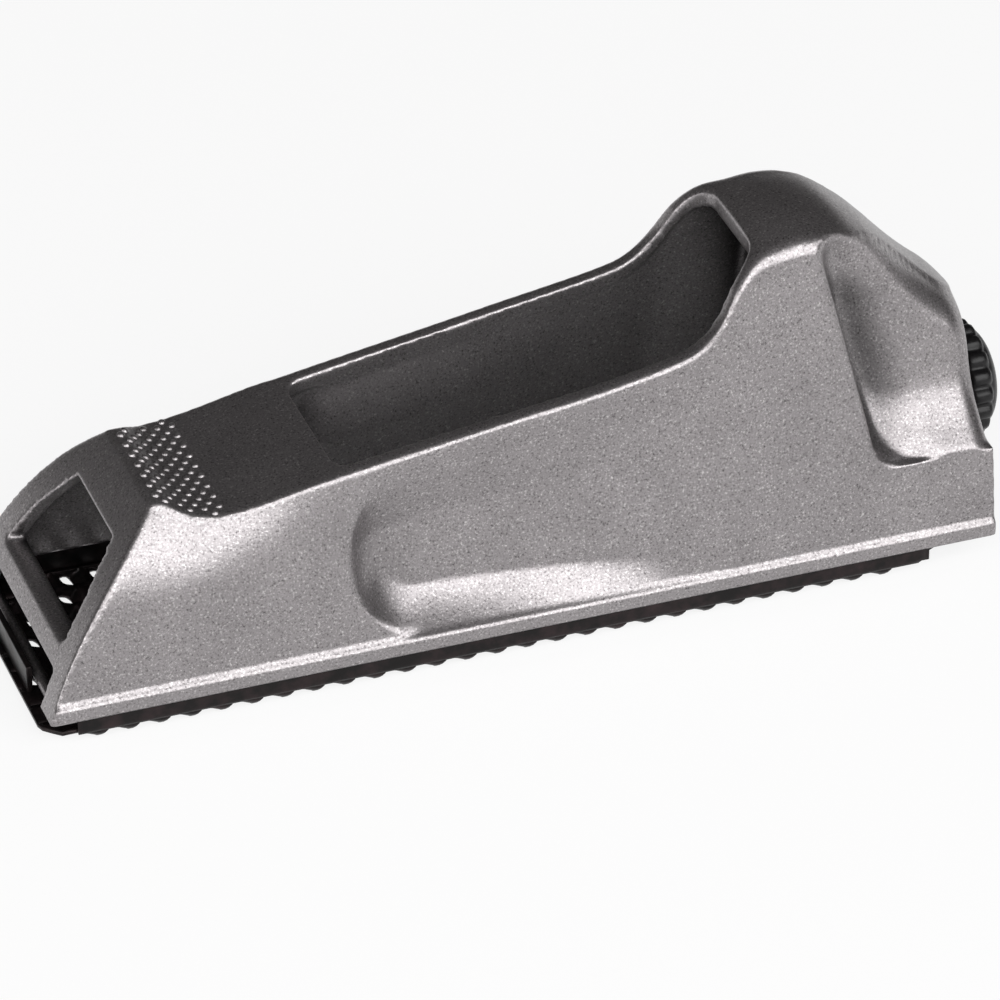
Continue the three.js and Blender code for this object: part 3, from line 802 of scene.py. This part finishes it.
    def trough_ring(self, x: float) -> list[Point2]:
        """Draws one section of the trough's mouth, with its corners rounded in plan.

        Args:
            x: Place along the tool.

        Returns:
            The section's points as (y, z).
        """
        inset = 0.0
        for reach, round_ in ((x - self.trough_front, self.trough_round_front),
                              (self.trough_rear - x, self.trough_round_rear)):
            if reach < round_:
                inset = round_ * arc_drop(1 - reach / round_)
        edge, low = self.top(x) - self.edge_round(x), self.top(x) - 2 * self.top_wall
        rim = self.edge_half(x) - self.rim_wall - inset
        half = []
        for i in range(self.trough_steps + 1):
            z = low + (edge - low) * i / self.trough_steps
            half.append((min(rim, self.side_half(x, z) - self.side_wall), z))
        return mirrored([*half, (rim, self.hump_height + self.overrun)])

    def recess_front(self, z: float) -> float:
        """Gives the thumb recess's front wall, with a cove at its foot.

        Args:
            z: Height above the sole.

        Returns:
            The wall's place along the tool at that height.
        """
        lean = (self.recess_foot_front - self.recess_top_front) / (self.hump_height - self.ledge_height)
        wall = self.recess_foot_front - lean * (z - self.ledge_height)
        return wall + self.recess_foot_round * arc_drop(
            1 - within_one((z - self.ledge_height) / self.recess_foot_round))

    def tower_side(self, x: float, z: float) -> float:
        """Half width of the tower beside the thumb recess.

        Args:
            x: Place along the tool.
            z: Height above the sole.

        Returns:
            The half width, with the groove and cove at the front wall and rounded top and rear edges.
        """
        half, reach = self.tower_half(z), x - self.recess_front(z)
        cove = min(self.recess_side_round, max(self.sole_half + self.least_cove - half, self.least_cove))
        groove = self.groove_depth * (1 - smooth_step(self.groove_top - self.groove_fade, self.groove_top, z))
        half -= groove * (1 - smooth_step(0.0, self.groove_width, reach - cove / 2))
        if reach < cove:
            half += cove * arc_drop(1 - reach / cove)
        growth = smooth_step(self.recess_top_front + self.hump_round, self.rear_x - 2 * self.tower_rear_round, x)
        shoulder = self.rim_round + (self.tower_shoulder - self.rim_round) * growth
        half -= shoulder * arc_drop(within_one(1 - (self.top(x) - z) / shoulder))
        return half - self.tower_rear_round * arc_drop(within_one(1 - (self.rear_x - x) / self.tower_rear_round))

    def recess_ring(self, z: float) -> list[Point2]:
        """Draws one level of the thumb recess on the near side.

        Args:
            z: Height above the sole.

        Returns:
            The level's points as (x, y).
        """
        front, rear, outer = self.recess_front(z), self.rear_x + self.overrun, self.sole_half + self.overrun
        edge, side = self.recess_edge_round, self.side_half(front, z)
        ring = [(front - edge, -outer)]
        for turn in np.linspace(0, math.pi / 2, self.recess_edge_steps + 1):
            ring.append((front - edge * (1 - math.sin(turn)), -(side - edge * (1 - math.cos(turn)))))
        for i in range(self.recess_steps + 1):
            share = i / self.recess_steps
            x = front + (self.rear_x - front) * (share ** 2 if share < 0.5 else 1.5 * share - 0.5)
            half = self.tower_side(x, z)
            ring.append((x, -min(half, side - edge) if x < front + edge else -half))
        ring += [(rear, -self.tower_side(self.rear_x, z)), (rear, -outer)]
        return ring

    def recesses(self) -> list[bpy.types.Object]:
        """Makes the cutters of both thumb recesses.

        Returns:
            The near and the far cutter.
        """
        levels = np.linspace(self.ledge_height, self.hump_height + self.overrun, self.recess_levels)
        points, faces = loft(levels, self.recess_ring, axis=2)
        near = mesh_object("recess_near", (points, faces))
        far = mesh_object("recess_far", ([(x, -y, z) for x, y, z in points], faces))
        return [near, far]

    def nose_cutters(self) -> list[bpy.types.Object]:
        """Makes the cutters of the nose's window and of the mouth under its crossbar.

        Returns:
            Both cutters.
        """
        window = mirrored([
            (self.window_foot_width / 2, self.crossbar_top),
            (self.window_shoulder_width / 2, self.window_shoulder),
            (self.window_top_width / 2, self.window_top),
        ])
        mouth = mirrored([(self.mouth_width / 2, -self.overrun), (self.mouth_top_width / 2, self.crossbar_bottom)])
        through = self.nose_x + self.nose_setback + self.nose_wall
        return [
            mesh_object("window", loft((self.nose_x - self.overrun, through), lambda x: window)),
            mesh_object("mouth", loft((self.nose_x - self.overrun, self.nose_x + self.mouth_depth), lambda x: mouth)),
        ]

    def bore(self) -> bpy.types.Object:
        """Makes the cutter of the sleeve's bore in the rear wall.

        Returns:
            The cutter.
        """
        ring = circle((0.0, self.draw_height), self.bore_radius, self.bore_sides)
        ends = self.rear_x - self.rear_wall - self.bore_overrun, self.rear_x + self.bore_overrun
        return mesh_object("bore", loft(ends, lambda x: ring))

    def shelves(self) -> list[bpy.types.Object]:
        """Makes the two cast shelves that guide the claw, inside the walls.

        Returns:
            Both shelves.
        """
        x1 = self.rear_x - self.rear_wall / 2
        x0 = self.rear_x - self.rear_wall - self.shelf_length
        reach = self.sole_half - self.flange_step - self.side_wall / 2
        z0, z1 = self.shelf_bottom, self.shelf_bottom + self.shelf_thickness
        inner = self.shelf_inner_width / 2
        return [mesh_object("shelf_a", block((x0, inner, z0), (x1, reach, z1))),
                mesh_object("shelf_b", block((x0, -reach, z0), (x1, -inner, z1)))]

    def rib(self) -> bpy.types.Object:
        """Makes the anchor rib behind the blade's lug.

        Returns:
            The rib.
        """
        outline = circle((self.nose_x + self.rib_from_nose, self.rib_height), self.rib_radius, self.rib_sides)
        return mesh_object("rib", prism_across(outline, (self.mouth_width + self.side_wall) / 2))

    def build(self) -> bpy.types.Object:
        """Lofts and cuts the casting, then remeshes it so that its edges and corners get casting radii.

        Returns:
            The body as one closed mesh.
        """
        places = np.linspace(self.nose_x, self.rear_x, self.sections)
        body = mesh_object("cast_body", loft(places, self.outer_ring))
        hollow_rear = self.rear_x - self.rear_wall
        inner_places = sorted([*np.linspace(self.nose_x, hollow_rear, self.hollow_sections),
                               self.tower_cavity_front, self.tower_cavity_front + 1.0])
        hollow = mesh_object("hollow", loft(inner_places, self.hollow_ring))
        combine(hollow, [mesh_object("inner_nose", self.nose_space(self.nose_wall))], "DIFFERENCE")
        front, rear, ends = self.trough_front, self.trough_rear, self.trough_end_sections
        trough_places = [*np.linspace(front, front + self.trough_round_front, ends),
                         *np.linspace(front + self.trough_blend, rear - self.trough_blend, self.trough_sections),
                         *np.linspace(rear - self.trough_round_rear, rear, ends)]
        rebate_half = self.blade_width / 2 + self.fit_gap
        rebate = block((self.nose_x + self.rebate_front_gap, -rebate_half, -self.overrun),
                       (hollow_rear, rebate_half, self.rebate_depth))
        cutters = [mesh_object("nose_front", self.nose_space(0.0)), *self.recesses(), hollow,
                   mesh_object("trough", loft(trough_places, self.trough_ring)),
                   mesh_object("rebate", rebate), *self.nose_cutters()]
        combine(body, cutters, "DIFFERENCE")
        combine(body, [self.rib(), *self.shelves()], "UNION")
        combine(body, [self.bore()], "DIFFERENCE")
        remesh = body.modifiers.new("casting_skin", "REMESH")
        remesh.mode, remesh.voxel_size, remesh.use_smooth_shade = "VOXEL", self.voxel * MM, True
        soften = body.modifiers.new("casting_radii", "SMOOTH")
        soften.factor, soften.iterations = self.soften_factor, self.soften
        settle(body)
        body.data.polygons.foreach_set("use_smooth", [True] * len(body.data.polygons))
        return body

    def dress(self, body: bpy.types.Object, enamel: bpy.types.Material) -> None:
        """Enamels the body and lets it stand for the plain casting.

        Args:
            body: The built body.
            enamel: Its finish.
        """
        dress(body, enamel, "frame")
        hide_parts("body_casting")


@dataclass
class PadStipple:
    """Raised grip dots cast on the finger pad, in staggered rows."""

    body: CastBody
    front_gap: float = 1.3
    field_length: float = 9.4
    side_gap: float = 1.2
    pitch_x: float = 2.12
    pitch_y: float = 2.8
    radius: float = 0.6
    height: float = 0.4
    foot_spread: float = 1.15
    foot_sink: float = 0.12
    rings: int = 4
    sides: int = 12

    def build(self) -> bpy.types.Object:
        """Sets low domes on the pad's own slope.

        Returns:
            All dots as one object.
        """
        points: list[Point3] = []
        faces: list[tuple[int, ...]] = []
        start = self.body.nose_x + self.body.nose_setback + self.front_gap
        columns = int(self.field_length / (self.pitch_x / 2)) + 1
        for column in range(columns):
            x = start + column * self.pitch_x / 2
            limit = self.body.edge_half(x) - self.side_gap
            shift = 0.5 * (column % 2)
            rows = int(limit / self.pitch_y) + 1
            for row in range(-rows - 1, rows + 1):
                y = (row + shift) * self.pitch_y
                if abs(y) <= limit:
                    self.add_dot(points, faces, x, y)
        return mesh_object("pad_stipple", (points, faces))

    def add_dot(self, points: list[Point3], faces: list[tuple[int, ...]], x: float, y: float) -> None:
        """Adds one dome, sunk a little into the pad.

        Args:
            points: All points so far.
            faces: All faces so far.
            x: The dome's place along the tool.
            y: Its place across the tool.
        """
        slope = (self.body.top(x + 0.2) - self.body.top(x - 0.2)) / 0.4
        first = len(points)
        for ring in range(self.rings):
            share = ring / self.rings
            reach = self.radius * math.cos(share * math.pi / 2) * (self.foot_spread if ring == 0 else 1.0)
            rise = self.height * math.sin(share * math.pi / 2) - (self.foot_sink if ring == 0 else 0.0)
            for side in range(self.sides):
                turn = 2 * math.pi * side / self.sides
                dx, dy = reach * math.cos(turn), reach * math.sin(turn)
                points.append((x + dx, y + dy, self.body.top(x) + slope * dx + rise))
        points.append((x, y, self.body.top(x) + self.height))
        faces.extend(grid_faces(first, self.rings, self.sides))
        last = first + (self.rings - 1) * self.sides
        for side in range(self.sides):
            faces.append((last + side, last + (side + 1) % self.sides, len(points) - 1))


@dataclass
class RaspBlade:
    """The punched strip: every hole's rear lip is drawn down into a hollow tooth."""

    front_x: float = -73.4
    bend_x: float = 62.5
    rear_x: float = 67.0
    half_width: float = 20.45
    bottom: float = -3.15
    sheet: float = 0.6
    corner: float = 3.6
    pitch_x: float = 4.65
    pitch_y: float = 4.6
    columns: int = 9
    slant: int = 3
    front_margin: float = 0.4
    rear_margin: float = 1.2
    tooth_height: float = 1.15
    hole_front: float = 1.5
    hole_rear: float = 0.7
    hole_half: float = 1.5
    edge_radius: float = 1.35
    flange_top: float = 1.2
    lip_half: float = 17.0
    lip_top: float = 4.1
    lip_bend: float = 4.5
    lug_half: float = 8.0
    lug_rear: float = -71.6
    lug_top: float = 1.6
    lug_sheet: float = 0.9
    lug_sunk: float = 0.2
    lug_edge: float = 0.2
    flange_front: float = -68.7
    hole_square: float = 0.8
    tooth_round: float = 0.7
    tooth_fall: float = 0.6
    tooth_taper: float = 0.22
    tile_rows: tuple[float, ...] = (1.0, 0.72, 0.48, 0.26, 0.1, 0.0)
    along: int = 6
    across: int = 4
    plain_front_steps: int = 6
    plain_rear_steps: int = 4
    flange_grid: tuple[int, int] = (12, 80)
    lip_grid: tuple[int, int] = (20, 24)
    points: list[Point3] = field(default_factory=list)
    faces: list[tuple[int, ...]] = field(default_factory=list)

    def bent(self, s: float, w: float, drop: float) -> Point3:
        """Maps a place on the flat strip to its bent-up form.

        Args:
            s: Place along the strip, as x while it is flat.
            w: Place across the strip, measured on its surface.
            drop: Distance below the strip's lower face.

        Returns:
            The place in tool millimetres.
        """
        flat_half = self.half_width - self.edge_radius
        side, reach = math.copysign(1.0, w), abs(w) - flat_half
        y, z = w, self.bottom - drop
        if reach > 0:
            turn = min(reach / self.edge_radius, math.pi / 2)
            radius = self.edge_radius + drop
            y = side * (flat_half + radius * math.sin(turn))
            z = self.bottom + self.edge_radius - radius * math.cos(turn)
            z += max(reach - self.edge_radius * math.pi / 2, 0.0)
        if s <= self.bend_x:
            return s, y, z
        turn = min((s - self.bend_x) / self.lip_bend, math.pi / 2)
        x = self.bend_x + self.lip_bend * math.sin(turn)
        z += self.lip_bend * (1 - math.cos(turn)) + max(s - self.bend_x - self.lip_bend * math.pi / 2, 0.0)
        return x, y, z

    def add(self, rows: Sequence[Sequence[Point3]], closed: bool = False) -> None:
        """Adds a grid of flat places (s, w, drop) to the strip.

        Args:
            rows: Rows of equal length.
            closed: Whether each row closes on itself.
        """
        first, count = len(self.points), len(rows[0])
        for row in rows:
            self.points.extend(self.bent(*place) for place in row)
        self.faces.extend(grid_faces(first, len(rows), count, closed))

    def add_tile(self, s: float, w: float) -> None:
        """Adds one tile of the strip with its hole and drawn tooth.

        Args:
            s: The tile's middle along the strip.
            w: Its middle across the strip.
        """
        half_s, half_w = self.pitch_x / 2, self.pitch_y / 2
        corners = ((-half_s, -half_w), (half_s, -half_w), (half_s, half_w), (-half_s, half_w))
        edge: list[Point2] = []
        for j, steps in enumerate((self.along, self.across) * 2):
            (a0, b0), (a1, b1) = corners[j], corners[(j + 1) % 4]
            edge += [(a0 + (a1 - a0) * i / steps, b0 + (b1 - b0) * i / steps) for i in range(steps)]
        rows: list[list[Point3]] = []
        for share in self.tile_rows:
            row: list[Point3] = []
            for a, b in edge:
                turn = math.atan2(b / half_w, a / half_s)
                rear = math.cos(turn)
                reach = self.hole_rear if rear > 0 else self.hole_front
                lift = math.copysign(abs(math.sin(turn)) ** self.hole_square, math.sin(turn))
                drawn = (0.5 + 0.5 * rear) ** self.tooth_round * (1 - share) ** self.tooth_fall
                ds = reach * rear * (1 - share) + a * share
                dw = self.hole_half * lift * (1 - share) * (1 - self.tooth_taper * drawn) + b * share
                row.append((s + ds, w + dw, self.tooth_height * drawn))
            rows.append(row)
        self.add(rows, closed=True)

    def front_edge(self, w: float) -> float:
        """Where the strip begins at a place across it, with its corners cut off."""
        return self.front_x + max(abs(w) - (self.half_width - self.corner), 0.0)

    def add_plain(self, w0: float, w1: float, s0: float, s1: float, steps: int, from_edge: bool = False) -> None:
        """Adds a plain patch of strip.

        Args:
            w0: Its lower side across the strip.
            w1: Its upper side.
            s0: Its front.
            s1: Its rear.
            steps: Steps along the strip.
            from_edge: Whether its front follows the strip's cut corners.
        """
        rows = []
        for i in range(self.across + 1):
            w = w0 + (w1 - w0) * i / self.across
            start = max(s0, self.front_edge(w)) if from_edge else s0
            rows.append([(start + (s1 - start) * k / steps, w, 0.0) for k in range(steps + 1)])
        self.add(rows)

    def build(self) -> bpy.types.Object:
        """Builds the strip from tiles, plain ends, turned-up edges, rear lip and front lug.

        Returns:
            The blade as one object.
        """
        tile_half = self.columns * self.pitch_y / 2
        surface_half = (self.half_width - self.edge_radius + self.edge_radius * math.pi / 2
                        + (self.flange_top - self.bottom - self.edge_radius))
        for column in range(self.columns):
            w = (column - (self.columns - 1) / 2) * self.pitch_y
            start = self.front_x + self.front_margin + (column % self.slant) * self.pitch_x / self.slant
            if abs(w) > self.half_width - self.corner:
                start += self.pitch_x
            count = int((self.bend_x - self.rear_margin - start) / self.pitch_x)
            for i in range(count):
                self.add_tile(start + self.pitch_x * (i + 0.5), w)
            low, high = w - self.pitch_y / 2, w + self.pitch_y / 2
            self.add_plain(low, high, self.front_x, start, self.plain_front_steps, from_edge=True)
            self.add_plain(low, high, start + count * self.pitch_x, self.bend_x, self.plain_rear_steps)
        lengthwise = np.linspace(self.flange_front, self.bend_x, self.flange_grid[1])
        for side in (-1, 1):
            self.add([[(s, side * w, 0.0) for s in lengthwise]
                      for w in np.linspace(tile_half, surface_half, self.flange_grid[0])])
        lip_end = self.bend_x + self.lip_bend * math.pi / 2 + self.lip_top - self.lip_bend - self.bottom
        self.add([[(s, w, 0.0) for s in np.linspace(self.bend_x, lip_end, self.lip_grid[1])]
                  for w in np.linspace(-self.lip_half, self.lip_half, self.lip_grid[0])])
        blade = mesh_object("punched_blade", (self.points, self.faces))
        thicken = blade.modifiers.new("sheet", "SOLIDIFY")
        thicken.thickness, thicken.offset, thicken.use_even_offset = self.sheet * MM, 1.0, False
        settle(blade)
        foot = (self.lug_rear - self.lug_sheet, -self.lug_half, self.bottom + self.lug_sunk)
        lug = mesh_object("lug", block(foot, (self.lug_rear, self.lug_half, self.lug_top)), smooth=False)
        soften = lug.modifiers.new("edges", "BEVEL")
        soften.width, soften.segments = self.lug_edge * MM, 3
        settle(lug)
        join = bmesh.new()
        join.from_mesh(blade.data)
        join.from_mesh(lug.data)
        join.to_mesh(blade.data)
        join.free()
        bpy.data.objects.remove(lug, do_unlink=True)
        return blade

    def dress(self, blade: bpy.types.Object, steel: bpy.types.Material) -> None:
        """Blacks the blade and lets it stand for the plain one.

        Args:
            blade: The built blade.
            steel: Its finish.
        """
        dress(blade, steel, "blade")
        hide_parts("rasp_blade")


@dataclass
class TensionKnob:
    """The moulded knob behind the rear wall: fluted rim, soft edges and a low dome."""

    front_x: float = 74.4
    rim: float = 3.2
    dome: float = 2.7
    radius: float = 8.99
    flutes: int = 18
    flute_depth: float = 0.75
    axis_height: float = 14.3
    bore_radius: float = 4.3
    bore_depth: float = 4.0
    soft_edge: float = 0.045
    steps: int = 8
    dome_steps: int = 10

    def profile(self) -> list[tuple[float, float, float]]:
        """The knob's turned profile from its front bore to its dome.

        Returns:
            Rows of (x, radius share, how strongly the flutes cut there).
        """
        x, edge, bore = self.front_x, self.soft_edge, self.bore_radius / self.radius
        rows = [(x + self.bore_depth, 0.0, 0.0), (x + self.bore_depth, bore, 0.0),
                (x + 0.2, bore, 0.0), (x, bore + 0.03, 0.0),
                (x, 1 - 2 * edge, 0.4), (x + 0.12, 1 - edge, 0.8), (x + 0.45, 1.0, 1.0),
                (x + self.rim - 0.7, 1.0, 1.0), (x + self.rim - 0.2, 1 - 0.6 * edge, 1.0),
                (x + self.rim + 0.1, 1 - 1.8 * edge, 0.8), (x + self.rim + 0.2, 1 - 3.2 * edge, 0.2)]
        for i in range(1, self.dome_steps + 1):
            turn = math.pi / 2 * i / self.dome_steps
            rows.append((x + self.rim + 0.2 + (self.dome - 0.2) * math.sin(turn) ** 1.1,
                         (1 - 3.6 * edge) * math.cos(turn), 0.0))
        return rows

    def build(self) -> bpy.types.Object:
        """Turns the profile and sinks the flutes in its rim.

        Returns:
            The knob as one closed mesh.
        """
        count = self.flutes * self.steps
        points: list[Point3] = []
        rings = self.profile()
        for x, share, cut in rings:
            for i in range(count):
                turn = 2 * math.pi * i / count
                wave = 0.5 + 0.5 * math.cos(self.flutes * turn)
                reach = self.radius * share - cut * self.flute_depth * wave ** 2.5
                points.append((x, reach * math.cos(turn), self.axis_height + reach * math.sin(turn)))
        return mesh_object("tension_knob", (points, grid_faces(0, len(rings), count)))

    def dress(self, knob: bpy.types.Object, nylon: bpy.types.Material) -> None:
        """Gives the knob its nylon and lets it stand for the plain one.

        Args:
            knob: The built knob.
            nylon: Its finish.
        """
        dress(knob, nylon, "knob_body")
        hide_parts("knob")


@dataclass
class DrawGear:
    """The steel pieces that draw the blade tight. Their CAD shapes are right, so they only get a finish."""

    nodes: tuple[str, ...] = ("draw_claw", "draw_bolt", "thrust_washer", "sleeve_nut", "retaining_clip")
    edge_mm: float = 0.12
    sharp_degrees: float = 40.0

    def dress(self, zinc: bpy.types.Material) -> None:
        """Plates the CAD nodes and takes the sharpness off their edges.

        Args:
            zinc: Their finish.
        """
        for name in self.nodes:
            obj = frame["nodes"][name]
            obj.data.materials.clear()
            obj.data.materials.append(zinc)
            soften = obj.modifiers.new("broken_edges", "BEVEL")
            soften.width, soften.segments, soften.limit_method = self.edge_mm * MM, 2, "ANGLE"
            soften.angle_limit = math.radians(self.sharp_degrees)
            LOG.info("%s: CAD shape kept, zinc plated", name)


@dataclass
class Studio:
    """A pale floor, soft lamps, a dim room with a pale horizon, and the camera."""

    azimuth: float = -19.7
    elevation: float = 32.57
    distance: float = 1.0
    focal_px: float = 6873.0
    frame_px: float = 1000.0
    sensor_mm: float = 36.0
    target: Point3 = (0.0, 0.0, 25.0)
    aim_right: float = 2.49
    aim_up: float = -13.1
    floor_reach: float = 6.0
    white_share: float = 0.85
    lamps: tuple[tuple[str, Point3, float, Point2, float], ...] = (
        ("key", (0.12, -0.8, 0.6), 1.3, (2.1, 1.1), 3.9),
        ("edge", (-0.86, -0.36, 0.4), 1.3, (0.9, 0.8), 3.0),
    )

    def directions(self) -> tuple[Vector, Vector, Vector]:
        """Works out how the camera stands.

        Returns:
            Its back, right and up directions.
        """
        a, e = math.radians(self.azimuth), math.radians(self.elevation)
        back = Vector((math.sin(a) * math.cos(e), -math.cos(a) * math.cos(e), math.sin(e)))
        right = Vector((math.cos(a), math.sin(a), 0.0))
        return back, right, back.cross(right)

    def camera(self) -> None:
        """Places the camera as the photograph's, with a long lens and no shift."""
        back, right, up = self.directions()
        target = Vector(to_frame([self.target])[0])
        eye = target + back * self.distance
        aim = target + right * self.aim_right * MM + up * self.aim_up * MM
        data = bpy.data.cameras.new("camera")
        data.sensor_fit, data.sensor_width = "HORIZONTAL", self.sensor_mm
        data.lens = self.focal_px * self.sensor_mm / self.frame_px
        data.clip_start, data.clip_end = 0.05, 50.0
        camera = bpy.data.objects.new("camera", data)
        camera.location = eye
        camera.rotation_euler = (aim - eye).to_track_quat("-Z", "Y").to_euler()
        bpy.context.scene.collection.objects.link(camera)
        bpy.context.scene.camera = camera

    def lamp(self, name: str, towards: Point3, distance: float, size: Point2, radiance: float) -> None:
        """Adds one soft area lamp that faces the tool.

        Args:
            name: The lamp's name.
            towards: Direction from the tool to the lamp.
            distance: Distance in metres.
            size: Width and height in metres.
            radiance: Brightness of its surface, where 1 is a white sheet.
        """
        data = bpy.data.lights.new(name, "AREA")
        data.shape, data.size, data.size_y = "RECTANGLE", size[0], size[1]
        data.energy = radiance * math.pi * size[0] * size[1]
        lamp = bpy.data.objects.new(name, data)
        lamp.location = Vector(towards).normalized() * distance
        lamp.rotation_euler = (-Vector(towards)).to_track_quat("-Z", "Y").to_euler()
        bpy.context.scene.collection.objects.link(lamp)

    def floor(self) -> None:
        """Lays a white floor that keeps the tool's shadow."""
        reach = self.floor_reach
        data = bpy.data.meshes.new("floor")
        data.from_pydata([(-reach, -reach, 0), (reach, -reach, 0), (reach, reach, 0), (-reach, reach, 0)], [],
                         [(0, 1, 2, 3)])
        floor = bpy.data.objects.new("floor", data)
        bpy.context.scene.collection.objects.link(floor)
        material = bpy.data.materials.new("white_sweep")
        material.use_nodes = True
        tree = material.node_tree
        tree.nodes.clear()
        path = add_node(tree, "ShaderNodeLightPath")
        seen = add_node(tree, "ShaderNodeMath", {
            0: path.outputs["Is Camera Ray"], 1: path.outputs["Is Glossy Ray"]}, operation="MAXIMUM")
        seen = add_node(tree, "ShaderNodeMath", {
            0: seen.outputs[0], 1: path.outputs["Is Transmission Ray"]}, operation="MAXIMUM")
        share = add_node(tree, "ShaderNodeMath", {0: seen.outputs[0], 1: self.white_share}, operation="MULTIPLY")
        paper = add_node(tree, "ShaderNodeBsdfDiffuse", {"Color": linear("#f4f4f4")})
        white = add_node(tree, "ShaderNodeEmission", {"Color": (1, 1, 1, 1), "Strength": 1.0})
        mix = add_node(tree, "ShaderNodeMixShader", {
            "Fac": share.outputs[0], 1: paper.outputs[0], 2: white.outputs[0]})
        add_node(tree, "ShaderNodeOutputMaterial", {"Surface": mix.outputs[0]})
        data.materials.append(material)

    def room(self) -> None:
        """Makes the world: pale at the horizon, dim above."""
        world = bpy.data.worlds.new("room")
        bpy.context.scene.world = world
        world.use_nodes = True
        tree = world.node_tree
        tree.nodes.clear()
        way = add_node(tree, "ShaderNodeTexCoord").outputs["Generated"]
        parts = add_node(tree, "ShaderNodeSeparateXYZ", {"Vector": way})
        tint = add_node(tree, "ShaderNodeValToRGB", {"Fac": parts.outputs["Z"]})
        ramp(tint, ((0.0, "#f2f2f2"), (0.03, "#9c9a99"), (0.1, "#3e3c3c"), (0.3, "#343232"), (1.0, "#343232")))
        light = add_node(tree, "ShaderNodeBackground", {"Color": tint.outputs["Color"], "Strength": 1.0})
        add_node(tree, "ShaderNodeOutputWorld", {"Surface": light.outputs[0]})

    def build(self) -> None:
        """Sets the studio up."""
        self.camera()
        self.floor()
        self.room()
        for lamp in self.lamps:
            self.lamp(*lamp)
        bpy.context.scene.view_settings.view_transform = "Standard"
        LOG.info("studio: camera at %.1f, %.1f degrees", self.azimuth, self.elevation)


def main() -> None:
    """Builds the pieces in order and reports each."""
    logging.basicConfig(level=logging.INFO, format="%(name)s: %(message)s")
    Studio().build()
    enamel = StovedEnamel().material()
    casting = CastBody()
    body = casting.build()
    casting.dress(body, enamel)
    dots = PadStipple(casting).build()
    dress(dots, enamel, "frame")
    blade = RaspBlade()
    blade.dress(blade.build(), BlackedSteel().material())
    knob = TensionKnob()
    knob.dress(knob.build(), MouldedNylon().material())
    DrawGear().dress(ZincPlate().material())


if __name__ == "__main__":
    main()
